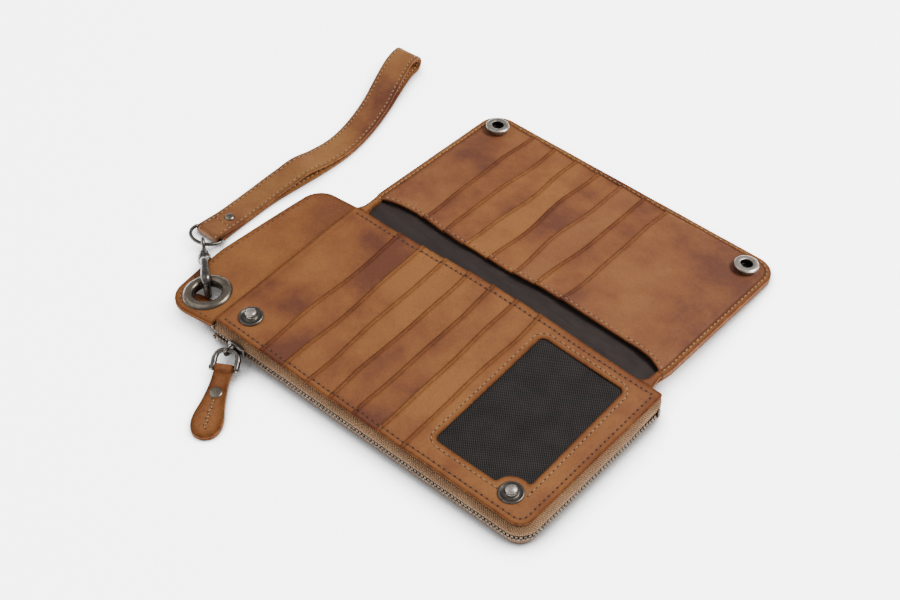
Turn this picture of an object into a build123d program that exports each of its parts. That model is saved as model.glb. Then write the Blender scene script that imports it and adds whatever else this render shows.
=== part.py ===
from build123d import *
import os
from math import atan2, cos, degrees, radians, sin, tan

os.makedirs("parts", exist_ok=True)

# A long leather wallet lying open on its back. Millimetres, +Z up.
# Origin: centre of the body's base, on the surface the wallet rests on.
# +X runs along the length towards the rounded zip corner, +Y from the zip edge to the flap.

# ---- driving dimensions ----
LENGTH = 195.0            # body length, left edge to right edge
WIDTH = 103.7             # body width, zip edge to fold
HEIGHT = 15.0             # top of the front panel above the base
TAPER = 1.5               # the right edge leans outwards by this much at each end
CORNER_R = 9.0            # rounded corner that the zip goes round
SMALL_R = 1.5             # the other corners

LEATHER = 1.2             # full leather ply
THIN_LEATHER = 0.8        # split leather used for the pockets
LINING = 0.35             # woven lining

LIP_FIRST_X = -67.0       # left edge of the first card pocket
LIP_PITCH = 15.0          # step from one card pocket to the next
POCKET_COUNT = 6          # pockets on each panel, before the wide last one
POCKET_STACK = 1.75       # height from the base panel to a pocket's lip
TUCK = 1.4                # how far a pocket's tail reaches under the next lip

STUD_X = (-84.6, 78.6)    # snap fasteners along X
STUD_Y = -38.4
STUD_POST_R = 2.8
RIVET_HEAD_R = 4.6
STUD_TOP = 4.1            # stud height above the front panel
SOCKET_R = 6.5
SOCKET_BORE_R = 3.2
SOCKET_HEIGHT = 3.4

AXIS_Y = 57.85            # fold line of the flap
AXIS_Z = 17.2
FLAP_SLOPE = 5.62         # degrees, the open flap slopes down to the surface
FLAP_LENGTH = 108.5       # fold line to far edge
FLAP_LEFT, FLAP_RIGHT = -95.5, 92.0
FLAP_R = 12.0

ZIP_Z = 8.25              # height of the zip's middle line
ZIP_SLIT = 0.8            # slit between the two rows
TOOTH_PITCH = 2.0
SLIDER_X = -79.5

EYELET_X, EYELET_Y = -115.8, -38.5
EYELET_BORE_R = 7.25
EYELET_R = 12.75
WING_R = 16.5             # the wing's corner follows the eyelet

STRAP_WIDTH = 15.5
STRAP_T = 1.6

# ---- heights through the body ----
lip_top = HEIGHT
base_top = HEIGHT - POCKET_STACK
base_bottom = base_top - 0.95
wing_top = base_bottom - 0.05
wing_bottom = wing_top - 2 * LEATHER
cover_top = 1.4
half_l, half_w = LENGTH / 2, WIDTH / 2


def write(part, name):
    """Label a finished sub-part and write its STEP file."""
    part.label = name
    export_step(part, f"parts/{name}.step")


def outline(*points):
    """A closed straight-sided face in the active sketch."""
    with BuildLine() as sides:
        Polyline(*points, close=True)
    make_face(sides.edges())


def panel_face(inset=0.0):
    """Outline of the body seen from above, drawn in by an inset."""
    left, low_y, high_y = -half_l + inset, -half_w + inset, half_w - inset
    right_low, right_high = half_l - TAPER - inset, half_l + TAPER - inset
    outline((left, low_y), (right_low, low_y), (right_high, high_y), (left, high_y))
    fillet(vertices().sort_by_distance((right_low, low_y))[0], CORNER_R - inset)
    fillet(vertices().sort_by_distance((right_high, high_y))[0], SMALL_R)


def upright(x, y, z=0.0):
    """A vertical profile plane at a point: local X is row X, local Y is height."""
    return Plane(origin=(x, y, z), x_dir=(1, 0, 0), z_dir=(0, -1, 0))


# ================= body: covers, linings and walls =================
with BuildPart() as back_cover:
    with BuildSketch(Plane.XY):
        panel_face()
    extrude(amount=cover_top)
    fillet(back_cover.faces().sort_by(Axis.Z)[0].edges(), 0.5)
write(back_cover.part, "back_cover")

with BuildPart() as back_lining:
    with BuildSketch(Plane.XY.offset(cover_top + 0.02)):
        panel_face(inset=3.0)
    extrude(amount=LINING)
write(back_lining.part, "back_lining")

# Rounded leather tongue that reinforces the zip's left end, lying under the wing.
TONGUE_TIP_X = -128.0
with BuildPart() as zip_end_tongue:
    with BuildSketch(Plane.XY):
        outline((-half_l - 0.1, -32.0), (TONGUE_TIP_X, -36.8), (TONGUE_TIP_X, -47.0), (-half_l - 0.1, -47.5))
        fillet(vertices().group_by(Axis.X)[0], 4.6)
    extrude(amount=LEATHER)
write(zip_end_tongue.part, "zip_end_tongue")

# The wing carries the eyelet: two plies sewn in under the front panel's left edge. Outside the
# body they droop to the left.
WING_BACK_X, WING_BACK_Y = -125.5, 53.4
WING_FRONT_X = -130.4
WING_SEWN_X = -89.6
WING_DROOP = 6.0
WING = Plane(origin=(-half_l, 0, wing_top), x_dir=(cos(radians(WING_DROOP)), 0, sin(radians(WING_DROOP))),
             z_dir=(-sin(radians(WING_DROOP)), 0, cos(radians(WING_DROOP))))
EYELET_S = (EYELET_X + half_l) / cos(radians(WING_DROOP))     # the eyelet along the wing
eyelet_centre = WING.from_local_coords((EYELET_S, EYELET_Y, 0))
eyelet_axis = Axis(eyelet_centre, WING.z_dir)
EYELET_SIDE = Plane(origin=eyelet_centre, x_dir=WING.x_dir, z_dir=-WING.y_dir)

for name, ply_top in (("wing_upper_ply", wing_top), ("wing_lower_ply", wing_top - LEATHER - 0.005)):
    with BuildPart() as wing_ply:
        with BuildSketch(Plane.XZ.offset(80.0)):
            far_x = -half_l - 50.0
            far_top = ply_top - 50.0 * tan(radians(WING_DROOP))
            outline((WING_SEWN_X, ply_top), (-half_l, ply_top), (far_x, far_top),
                    (far_x, far_top - LEATHER), (-half_l, ply_top - LEATHER),
                    (WING_SEWN_X, ply_top - LEATHER))
        extrude(amount=-160.0)
        with BuildSketch(Plane.XY):
            outline((-half_l - 0.1, -53.0), (EYELET_X, EYELET_Y - WING_R + 0.7),
                    (WING_FRONT_X, EYELET_Y - WING_R + 1.6), (WING_FRONT_X - 3.2, -12.0),
                    (WING_BACK_X, WING_BACK_Y), (-half_l - 0.1, WING_BACK_Y),
                    (-half_l - 0.1, 48.5), (WING_SEWN_X, 48.5), (WING_SEWN_X, -50.5), (-half_l - 0.1, -50.5))
            fillet(vertices().sort_by_distance((WING_FRONT_X, EYELET_Y - WING_R + 1.6))[0], 13.5)
            fillet(vertices().sort_by_distance((WING_FRONT_X - 3.2, -12.0))[0], 40.0)
            fillet(vertices().sort_by_distance((WING_BACK_X, WING_BACK_Y))[0], 12.0)
        extrude(amount=20.0, mode=Mode.INTERSECT)
        with Locations(WING.location):
            with Locations((EYELET_S, EYELET_Y, 0)):
                Cylinder(EYELET_BORE_R + 0.85, 10.0, mode=Mode.SUBTRACT)
    write(wing_ply.part, name)

with BuildPart() as left_gusset:
    with BuildSketch(Plane.XY.offset(cover_top + 0.02)):
        with Locations((-half_l + 0.8, 0)):
            Rectangle(0.9, 2 * half_w - 3.6)
    extrude(amount=wing_bottom - cover_top - 0.07)
write(left_gusset.part, "left_gusset")

# Back wall of the body: rises from the back cover and curls out under the fold.
SPINE_OUT = AXIS_Y - 0.6
SPINE_TOP = AXIS_Z - 5.3
with BuildPart() as spine_leather:
    with BuildSketch(Plane.YZ.offset(-half_l + 2.0)):
        with BuildLine():
            FilletPolyline((half_w - 0.9, cover_top + 0.03), (half_w + 0.3, cover_top + 0.03),
                           (half_w + 0.3, SPINE_TOP - LEATHER), (SPINE_OUT, SPINE_TOP - LEATHER),
                           (SPINE_OUT, SPINE_TOP), (half_w - 0.9, SPINE_TOP),
                           radius=0.15, close=True)
        make_face()
    extrude(amount=2 * half_l - 8.0)
write(spine_leather.part, "spine_leather")

LINING_LEFT, LINING_RIGHT = -92.5, 85.0
with BuildPart() as spine_lining:
    with BuildSketch(Plane.XY.offset(SPINE_TOP + 0.01)):
        outline((LINING_LEFT, 49.0), (LINING_RIGHT, 49.0),
                (LINING_RIGHT, SPINE_OUT), (LINING_LEFT, SPINE_OUT))
    extrude(amount=LINING - 0.05)
write(spine_lining.part, "spine_lining")

with BuildPart() as front_lining:
    with BuildSketch(Plane.XY.offset(base_bottom - 0.05 - LINING)):
        outline((WING_SEWN_X + 0.6, -half_w + 4.0), (half_l - 5.0, -half_w + 4.0),
                (half_l - 5.0, 48.5), (WING_SEWN_X + 0.6, 48.5))
        with Locations(*[(x, STUD_Y) for x in STUD_X]):
            Circle(RIVET_HEAD_R + 0.2, mode=Mode.SUBTRACT)
    extrude(amount=LINING)
write(front_lining.part, "front_lining")

# ================= body: front panel and card pockets =================
STUD_HOLE_R = 1.9


def stud_holes():
    """Holes for the stud rivets through the active sketch."""
    with Locations(*[(x, STUD_Y) for x in STUD_X]):
        Circle(STUD_HOLE_R, mode=Mode.SUBTRACT)


with BuildPart() as front_base_panel:
    with BuildSketch(Plane.XY.offset(base_bottom)):
        panel_face()
        stud_holes()
    extrude(amount=base_top - base_bottom - 0.02)
write(front_base_panel.part, "front_base_panel")


def strip_profile(left, right, lip, tail, thick=THIN_LEATHER):
    """Cross-section of a pocket: its lip stands on the tail of the pocket before it."""
    outline((left, lip - thick), (right, tail - thick), (right, tail), (left, lip))


tail_top = base_top + THIN_LEATHER + 0.01

with BuildPart() as front_plain_panel:
    with BuildSketch(Plane.XZ.offset(half_w)):
        outline((-half_l, base_top), (LIP_FIRST_X + TUCK, base_top),
                (LIP_FIRST_X + TUCK, base_top + THIN_LEATHER),
                (LIP_FIRST_X - 8.0, base_top + THIN_LEATHER + 0.3), (-half_l, lip_top - 0.1))
    extrude(amount=-WIDTH)
    with Locations((STUD_X[0], STUD_Y, base_top)):
        Cylinder(STUD_HOLE_R, 8.0, mode=Mode.SUBTRACT)
write(front_plain_panel.part, "front_plain_panel")

for pocket in range(POCKET_COUNT):
    lip_x = LIP_FIRST_X + pocket * LIP_PITCH
    with BuildPart() as front_card_pocket:
        with BuildSketch(Plane.XZ.offset(half_w)):
            strip_profile(lip_x, lip_x + LIP_PITCH + TUCK, lip_top, tail_top)
        extrude(amount=-WIDTH)
    write(front_card_pocket.part, f"front_card_pocket_{pocket + 1}")

# Wide last pocket with the identity window.
ID_PANEL_X = LIP_FIRST_X + POCKET_COUNT * LIP_PITCH
WINDOW_X = (32.5, 82.5)
WINDOW_Y = (-37.5, 42.0)
WINDOW_R = 4.5
WINDOW_STUD_R = 9.5


def window_face():
    """The window: a rounded rectangle that bows inwards round the right-hand stud."""
    outline((WINDOW_X[0], WINDOW_Y[0]), (WINDOW_X[1], WINDOW_Y[0]),
            (WINDOW_X[1], WINDOW_Y[1]), (WINDOW_X[0], WINDOW_Y[1]))
    fillet(vertices().sort_by(Axis.X)[:2], WINDOW_R)
    fillet(vertices().group_by(Axis.Y)[-1].sort_by(Axis.X)[-1], WINDOW_R)
    with Locations((STUD_X[1], STUD_Y)):
        Circle(WINDOW_STUD_R, mode=Mode.SUBTRACT)


with BuildPart() as front_id_panel:
    with BuildSketch(Plane.XY.offset(lip_top - THIN_LEATHER)):
        panel_face()
        with Locations((ID_PANEL_X - LENGTH, 0)):
            Rectangle(2 * LENGTH, 2 * WIDTH, mode=Mode.SUBTRACT)
        with BuildSketch(mode=Mode.PRIVATE) as window:
            window_face()
        add(window.sketch_local, mode=Mode.SUBTRACT)
        with Locations((STUD_X[1], STUD_Y)):
            Circle(STUD_HOLE_R, mode=Mode.SUBTRACT)
    extrude(amount=THIN_LEATHER)
write(front_id_panel.part, "front_id_panel")

# Thickness made up under the wide pocket, from its lip's tuck to the right edge.
with BuildPart() as id_backing:
    with BuildSketch(Plane.XY.offset(base_top)):
        panel_face(inset=0.3)
        with Locations((ID_PANEL_X + TUCK + 0.3 - LENGTH, 0)):
            Rectangle(2 * LENGTH, 2 * WIDTH, mode=Mode.SUBTRACT)
        with Locations(((WINDOW_X[0] + WINDOW_X[1]) / 2, (WINDOW_Y[0] + WINDOW_Y[1]) / 2)):
            Rectangle(WINDOW_X[1] - WINDOW_X[0] + 3, WINDOW_Y[1] - WINDOW_Y[0] + 3, mode=Mode.SUBTRACT)
        with Locations((STUD_X[1], STUD_Y)):
            Circle(STUD_HOLE_R + 3, mode=Mode.ADD)
            Circle(STUD_HOLE_R, mode=Mode.SUBTRACT)
    extrude(amount=lip_top - THIN_LEATHER - base_top - 0.01)
write(id_backing.part, "id_backing")

with BuildPart() as id_window_mesh:
    with BuildSketch(Plane.XY.offset(lip_top - THIN_LEATHER - 0.35)):
        with Locations(((WINDOW_X[0] + WINDOW_X[1]) / 2, (WINDOW_Y[0] + WINDOW_Y[1]) / 2)):
            Rectangle(WINDOW_X[1] - WINDOW_X[0] + 2.6, WINDOW_Y[1] - WINDOW_Y[0] + 2.6)
        with Locations((STUD_X[1], STUD_Y)):
            Circle(STUD_HOLE_R + 3.2, mode=Mode.SUBTRACT)
    extrude(amount=0.3)
write(id_window_mesh.part, "id_window_mesh")

# ================= snap studs on the front panel =================
STUD_BASE_R = 6.2
for side, stud_x in zip(("left", "right"), STUD_X):
    with BuildPart() as snap_stud:
        with BuildSketch(upright(stud_x, STUD_Y, lip_top)):
            with BuildLine():
                Polyline((0, 0.02), (STUD_BASE_R, 0.02), (STUD_BASE_R, 0.7), (STUD_BASE_R - 0.5, 0.9),
                         (STUD_BASE_R - 1.0, 0.45), (STUD_POST_R + 0.6, 0.35), (STUD_POST_R - 0.35, 0.8),
                         (STUD_POST_R - 0.35, 1.9), (STUD_POST_R, 2.5), (STUD_POST_R, STUD_TOP - 0.8),
                         (STUD_POST_R - 0.3, STUD_TOP - 0.3), (STUD_POST_R - 0.9, STUD_TOP), (0, STUD_TOP),
                         close=True)
            make_face()
        revolve(axis=Axis((stud_x, STUD_Y, 0), (0, 0, 1)))
    write(snap_stud.part, f"snap_stud_{side}")

with BuildPart() as stud_rivets:
    for stud_x in STUD_X:
        with BuildSketch(upright(stud_x, STUD_Y)):
            outline((0, base_bottom - 0.95), (RIVET_HEAD_R, base_bottom - 0.95),
                    (RIVET_HEAD_R, base_bottom - 0.45), (STUD_HOLE_R - 0.05, base_bottom - 0.45),
                    (STUD_HOLE_R - 0.05, lip_top), (0, lip_top))
        revolve(axis=Axis((stud_x, STUD_Y, 0), (0, 0, 1)))
write(stud_rivets.part, "stud_rivets")

# ================= zip round the front and right edges =================
TAPE_T = 0.7
TOOTH_T = 0.85
TOOTH_DEPTH = 1.1
tape_line = half_w + 0.25
tooth_line = tape_line + TAPE_T / 2 + 0.05 + TOOTH_DEPTH / 2
zip_left_x = -half_l + 1.2
zip_back_y = half_w - 5.0


def zip_path(line_y):
    """Middle line of the zip at a distance from the centre line, left end to right end."""
    grow = line_y - half_w
    corner_x = half_l - TAPER + grow
    end_x = corner_x + 2 * TAPER * (zip_back_y + half_w) / WIDTH
    return FilletPolyline((zip_left_x, -line_y), (corner_x, -line_y), (end_x, zip_back_y),
                          radius=CORNER_R + grow)


for name, low, high in (("zip_tape_upper", ZIP_Z + ZIP_SLIT / 2 + 0.9, wing_top),
                        ("zip_tape_lower", cover_top + 0.05, ZIP_Z - ZIP_SLIT / 2 - 0.9)):
    with BuildPart() as zip_tape:
        with BuildSketch(Plane.XY.offset(low)):
            with BuildLine():
                zip_path(tape_line)
            trace(line_width=TAPE_T)
        extrude(amount=high - low)
    write(zip_tape.part, name)

with BuildLine() as tooth_wire:
    zip_path(tooth_line)
zip_wire = tooth_wire.wires()[0]
zip_length = zip_wire.length
tooth_count = int((zip_length - 2.0) / TOOTH_PITCH)


def tooth_places(shift):
    """Places along the zip for one row; shift staggers the two rows."""
    places = []
    for k in range(tooth_count):
        part_way = (1.0 + (k + shift) * TOOTH_PITCH) / zip_length
        here, along = zip_wire @ part_way, zip_wire % part_way
        places.append(Location((here.X, here.Y, 0), (0, 0, degrees(atan2(along.Y, along.X)))))
    return places


PARTED_X = SLIDER_X - 4.0           # left of here the slider has parted the rows
for name, base_z, shift, way in (("zip_teeth_upper", ZIP_Z + ZIP_SLIT / 2, 0.0, 1),
                                 ("zip_teeth_lower", ZIP_Z - ZIP_SLIT / 2 - 2.1, 0.5, -1)):
    places = tooth_places(shift)
    with BuildPart() as zip_teeth:
        with BuildSketch(Plane.XY.offset(base_z)):
            with Locations(*[p for p in places if p.position.X > PARTED_X]):
                Rectangle(TOOTH_T, TOOTH_DEPTH)
        extrude(amount=2.1)
        for place in [p for p in places if p.position.X <= PARTED_X]:
            rise = 0.12 * (PARTED_X - place.position.X)
            with BuildSketch(Plane.XY.offset(base_z + way * rise)):
                with Locations(place):
                    Rectangle(TOOTH_T, TOOTH_DEPTH)
            extrude(amount=2.1)
    write(zip_teeth.part, name)

with BuildPart() as zip_stops:
    end_here, end_along = zip_wire @ 1.0, zip_wire % 1.0
    turn = degrees(atan2(end_along.Y, end_along.X))
    with BuildSketch(Plane.XY.offset(ZIP_Z - 2.3)):
        with Locations(Location((end_here.X, end_here.Y, 0), (0, 0, turn))):
            Rectangle(1.8, TOOTH_DEPTH)
    extrude(amount=4.6)
    stop_x = zip_left_x - 0.3
    with Locations((stop_x, -tooth_line, ZIP_Z + 3.9), (stop_x, -tooth_line, ZIP_Z - 3.9)):
        Box(1.6, TOOTH_DEPTH, 2.0)
write(zip_stops.part, "zip_stops")

# ================= zip slider and pull =================
SLIDER_L, SLIDER_H = 10.5, 7.6
plate_gap = 0.35
outer_y = -(tooth_line + TOOTH_DEPTH / 2 + plate_gap)      # inner side of the slider's outer plate
inner_y = -(tape_line - TAPE_T / 2 - plate_gap)            # outer side of its inner plate
PLATE_T = 1.3
LUG_X = SLIDER_X - 2.6
LUG_Y = outer_y - PLATE_T - 2.3
WIRE_R = 0.9
PULL_ANGLE = -60.0                                          # direction in which the pull lies
pull_dir = Vector(cos(radians(PULL_ANGLE)), sin(radians(PULL_ANGLE)), 0)
pin_dir = Vector(-pull_dir.Y, pull_dir.X, 0)


def plate_face(length, height, waist):
    """A slider plate seen from outside: broad at the left, narrower at the right."""
    outline((-length / 2, -height / 2 + 1.2), (-length / 2 + 1.2, -height / 2), (0, -height / 2),
            (length / 2, -height / 2 + waist), (length / 2, height / 2 - waist), (0, height / 2),
            (-length / 2 + 1.2, height / 2), (-length / 2, height / 2 - 1.2))


with BuildPart() as zip_slider:
    with BuildSketch(Plane(origin=(SLIDER_X, outer_y, ZIP_Z), x_dir=(1, 0, 0), z_dir=(0, -1, 0))):
        plate_face(SLIDER_L, SLIDER_H, 0.9)
    extrude(amount=PLATE_T)
    fillet(zip_slider.faces().sort_by(Axis.Y)[0].edges(), 0.4)
    with BuildSketch(Plane(origin=(SLIDER_X, inner_y + PLATE_T, ZIP_Z), x_dir=(1, 0, 0), z_dir=(0, -1, 0))):
        plate_face(SLIDER_L, SLIDER_H - 0.6, 0.9)
    extrude(amount=PLATE_T)
    with Locations((SLIDER_X - SLIDER_L / 2 + 2.0, (outer_y + inner_y) / 2, ZIP_Z)):
        Box(3.0, inner_y - outer_y + 0.4, ZIP_SLIT - 0.24)
    # lug with the eye that the shackle goes through
    with BuildSketch(Plane(origin=(LUG_X - 1.0, 0, 0), x_dir=(0, -1, 0), z_dir=(1, 0, 0)).offset(2.0)):
        with Locations((-LUG_Y, -ZIP_Z)):
            Circle(2.7)
        with Locations((-LUG_Y - 1.6, -ZIP_Z)):
            Rectangle(3.2, 5.4)
        with Locations((-LUG_Y, -ZIP_Z)):
            Circle(1.85, mode=Mode.SUBTRACT)
    extrude(amount=-2.0)
write(zip_slider.part, "zip_slider")

SHACKLE_DROP = 20.0          # degrees, the shackle slopes down to the leather
SHACKLE_HALF = 5.8
SHACKLE_LEN = 9.4
KNOB_HALF = 1.1
shackle_dir = Vector(pull_dir.X * cos(radians(SHACKLE_DROP)), pull_dir.Y * cos(radians(SHACKLE_DROP)),
                     -sin(radians(SHACKLE_DROP)))
lug_centre = Vector(LUG_X, LUG_Y, ZIP_Z)
SHACKLE = Plane(origin=lug_centre, x_dir=pin_dir, z_dir=pin_dir.cross(shackle_dir))
with BuildPart() as pull_shackle:
    with BuildLine(SHACKLE) as shackle_path:
        FilletPolyline((-SHACKLE_HALF, SHACKLE_LEN), (-SHACKLE_HALF, 0), (SHACKLE_HALF, 0),
                       (SHACKLE_HALF, SHACKLE_LEN), radius=4.2)
    with BuildSketch(Plane(origin=shackle_path.line @ 0, z_dir=shackle_path.line % 0)):
        Circle(WIRE_R)
    sweep()
    with Locations(SHACKLE.location):
        with Locations((-SHACKLE_HALF, SHACKLE_LEN, 0), (SHACKLE_HALF, SHACKLE_LEN, 0)):
            Cylinder(1.5, 2 * KNOB_HALF, rotation=(0, 90, 0))
        with Locations((0, SHACKLE_LEN, 0)):
            Cylinder(0.92, 4 * SHACKLE_HALF, rotation=(0, 90, 0), mode=Mode.SUBTRACT)
write(pull_shackle.part, "pull_shackle")

pin_centre = lug_centre + shackle_dir * SHACKLE_LEN
PIN = Plane(origin=pin_centre, x_dir=(0, 0, 1), z_dir=pin_dir)
with BuildPart() as pull_pin:
    pin_half = SHACKLE_HALF + KNOB_HALF + 0.05
    with BuildSketch(PIN.offset(-pin_half)):
        Circle(0.85)
    extrude(amount=2 * pin_half)
    with BuildSketch(PIN.offset(pin_half), PIN.offset(-pin_half - 0.7)):
        Circle(1.4)
    extrude(amount=0.7)
write(pull_pin.part, "pull_pin")

# Leather pull: one strip folded round the pin, riveted and sewn.
PULL_LEN = 41.0
PULL_T = 2.6
PULL_NECK, PULL_END = 9.0, 15.5
PULL_LOOP_R = 2.4
pull_drop = degrees(atan2(pin_centre.Z - PULL_T / 2 - 0.45, PULL_LEN))
leather_dir = Vector(pull_dir.X * cos(radians(pull_drop)), pull_dir.Y * cos(radians(pull_drop)),
                     -sin(radians(pull_drop)))
PULL = Plane(origin=pin_centre, x_dir=leather_dir, z_dir=leather_dir.cross(pin_dir))
RIVET_AT = 15.0
with BuildPart() as pull_leather:
    with BuildSketch(PULL.offset(-PULL_T / 2)):
        with BuildLine():
            Line((0, -PULL_NECK / 2), (10.0, -PULL_NECK / 2))
            Spline((10.0, -PULL_NECK / 2), (20.0, -PULL_NECK / 2 - 1.0), (30.0, -PULL_END / 2),
                   (38.0, -PULL_END / 2 + 2.2), (PULL_LEN, 0), (38.0, PULL_END / 2 - 2.2),
                   (30.0, PULL_END / 2), (20.0, PULL_NECK / 2 + 1.0), (10.0, PULL_NECK / 2),
                   tangents=((1, 0), (-1, 0)))
            Line((10.0, PULL_NECK / 2), (0, PULL_NECK / 2))
            Line((0, PULL_NECK / 2), (0, -PULL_NECK / 2))
        make_face()
        with Locations((RIVET_AT, 0)):
            Circle(1.5, mode=Mode.SUBTRACT)
    extrude(amount=PULL_T)
    with Locations(PULL.location):
        Cylinder(PULL_LOOP_R, PULL_NECK, rotation=(90, 0, 0))
        Cylinder(0.97, 2 * PULL_NECK, rotation=(90, 0, 0), mode=Mode.SUBTRACT)
write(pull_leather.part, "pull_leather")

with BuildPart() as pull_rivet:
    with Locations(PULL.location):
        with Locations((RIVET_AT, 0, 0)):
            Cylinder(1.45, PULL_T)
        with Locations((RIVET_AT, 0, PULL_T / 2 + 0.35), (RIVET_AT, 0, -PULL_T / 2 - 0.2)):
            Cylinder(3.2, 0.4)
        with Locations((RIVET_AT, 0, PULL_T / 2 + 0.08)):
            Cylinder(1.45, 0.2)
write(pull_rivet.part, "pull_rivet")

# ================= eyelet in the wing =================
EYELET_HEIGHT = 1.7
ring_mid_r = (EYELET_BORE_R + EYELET_R) / 2
barrel_low = -2 * LEATHER - 0.72
with BuildPart() as eyelet_ring:
    with BuildSketch(EYELET_SIDE):
        with BuildLine():
            Spline((EYELET_BORE_R, 0.1), (EYELET_BORE_R + 0.7, 1.2), (ring_mid_r, EYELET_HEIGHT),
                   (EYELET_R - 0.8, 0.9), (EYELET_R, 0.01))
            Polyline((EYELET_R, 0.01), (EYELET_BORE_R + 0.8, 0.01), (EYELET_BORE_R + 0.8, barrel_low),
                     (EYELET_BORE_R, barrel_low), (EYELET_BORE_R, 0.1))
        make_face()
    revolve(axis=eyelet_axis)
write(eyelet_ring.part, "eyelet_ring")

with BuildPart() as eyelet_washer:
    with BuildSketch(EYELET_SIDE):
        outline((EYELET_BORE_R + 0.82, barrel_low), (EYELET_R - 0.4, barrel_low),
                (EYELET_R - 0.4, barrel_low + 0.69), (EYELET_BORE_R + 0.82, barrel_low + 0.69))
    revolve(axis=eyelet_axis)
write(eyelet_washer.part, "eyelet_washer")

# ================= swivel clasp hooked through the eyelet =================
CLASP_ANGLE = 139.7                     # direction from the eyelet to the strap, seen from above
CLASP_DROP = 4.0                        # degrees, the clasp slopes down to the strap
out_dir = Vector(cos(radians(CLASP_ANGLE)), sin(radians(CLASP_ANGLE)), 0)
clasp_x = Vector(out_dir.X * cos(radians(CLASP_DROP)), out_dir.Y * cos(radians(CLASP_DROP)),
                 -sin(radians(CLASP_DROP)))
wing_slope = tan(radians(WING_DROOP)) * out_dir.X         # rise of the wing along the clasp
clasp_pivot = eyelet_centre + Vector(out_dir.X, out_dir.Y, wing_slope) * ring_mid_r - Vector(0, 0, 0.7)
clasp_side = out_dir.cross(Vector(0, 0, 1))
CLASP = Plane(origin=clasp_pivot, x_dir=clasp_x, z_dir=clasp_side)
BAR_R = 1.2
HOOK_TOP = 4.15
HOOK_TIP_X, HOOK_TIP_Y = -5.2, -7.4
GATE_TIP_X = -3.6
HEAD_END_X = 17.6                       # inner end of the swivel's head
BARREL_Y = -1.5
BARREL_R = 3.2
GATE_X, GATE_Y = 13.4, -6.1
BARREL_X = 14.6                         # where the barrel starts along the clasp
BARREL_END_X = 21.4
barrel_axis = Axis(CLASP.from_local_coords((0, BARREL_Y, 0)), clasp_x)

with BuildPart() as clasp_hook:
    with BuildLine(CLASP) as hook_path:
        FilletPolyline((HOOK_TIP_X, HOOK_TIP_Y), (HOOK_TIP_X, HOOK_TOP), (13.4, HOOK_TOP),
                       (BARREL_X + 1.6, BARREL_Y + 0.5), radius=2.6)
    with BuildSketch(Plane(origin=hook_path.line @ 0, z_dir=hook_path.line % 0)):
        Circle(BAR_R)
    sweep()
    with BuildSketch(CLASP):
        outline((BARREL_X, BARREL_Y), (BARREL_X, BARREL_Y + 2.4), (BARREL_X + 1.0, BARREL_Y + BARREL_R),
                (BARREL_END_X - 2.2, BARREL_Y + BARREL_R), (BARREL_END_X - 1.2, BARREL_Y + 2.3),
                (BARREL_END_X, BARREL_Y + 2.3), (BARREL_END_X, BARREL_Y))
    revolve(axis=barrel_axis)
    with BuildSketch(CLASP.offset(-2.3)):
        outline((BARREL_X + 0.2, BARREL_Y - 0.8), (BARREL_X + 4.6, BARREL_Y - 2.0),
                (GATE_X + 2.6, GATE_Y - 1.5), (GATE_X - 1.0, GATE_Y - 1.6), (GATE_X - 1.9, GATE_Y + 0.2),
                (GATE_X - 0.9, GATE_Y + 1.8))
    extrude(amount=4.6)
    # slot for the gate, and the bore and chamber that hold the swivel
    with BuildSketch(CLASP.offset(-1.15)):
        outline((GATE_X + 1.8, GATE_Y + 2.0), (GATE_X + 1.8, GATE_Y - 3.0), (GATE_X - 5.0, GATE_Y - 3.0),
                (GATE_X - 5.0, GATE_Y + 2.6))
    extrude(amount=2.3, mode=Mode.SUBTRACT)
    with BuildSketch(CLASP):
        outline((BARREL_X + 1.4, BARREL_Y), (BARREL_X + 1.4, BARREL_Y + 2.0),
                (HEAD_END_X + 0.1, BARREL_Y + 2.0), (HEAD_END_X + 0.1, BARREL_Y + 1.0),
                (BARREL_END_X + 1.0, BARREL_Y + 1.0), (BARREL_END_X + 1.0, BARREL_Y))
    revolve(axis=barrel_axis, mode=Mode.SUBTRACT)
    with BuildSketch(CLASP.offset(-3.0)):
        with Locations((GATE_X, GATE_Y)):
            Circle(0.56)
    extrude(amount=6.0, mode=Mode.SUBTRACT)
write(clasp_hook.part, "clasp_hook")

with BuildPart() as clasp_gate:
    gate_neck = GATE_X - 2.5
    with BuildSketch(CLASP.offset(-0.6)):
        with Locations((GATE_X, GATE_Y)):
            Circle(1.45)
        outline((GATE_X, GATE_Y + 0.7), (GATE_X, GATE_Y - 1.3), (gate_neck - 0.1, GATE_Y - 1.3),
                (gate_neck - 0.1, GATE_Y + 0.6))
        with Locations((GATE_X, GATE_Y)):
            Circle(0.62, mode=Mode.SUBTRACT)
    extrude(amount=1.2)
    with BuildSketch(CLASP.offset(-1.1)):
        outline((gate_neck, GATE_Y + 0.6), (gate_neck, GATE_Y - 1.3), (GATE_TIP_X + 0.6, GATE_Y - 1.4),
                (GATE_TIP_X, GATE_Y - 0.8), (GATE_TIP_X, GATE_Y + 0.1), (GATE_TIP_X + 0.6, GATE_Y + 0.4))
    extrude(amount=2.2)
write(clasp_gate.part, "clasp_gate")

with BuildPart() as clasp_gate_pin:
    with BuildSketch(CLASP.offset(-2.5)):
        with Locations((GATE_X, GATE_Y)):
            Circle(0.55)
    extrude(amount=5.0)
write(clasp_gate_pin.part, "clasp_gate_pin")

with BuildPart() as clasp_gate_spring:
    with Locations(CLASP.location):
        with Locations((GATE_X, GATE_Y, 0.87), (GATE_X, GATE_Y, -0.87)):
            Torus(0.95, 0.2)
write(clasp_gate_spring.part, "clasp_gate_spring")

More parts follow.
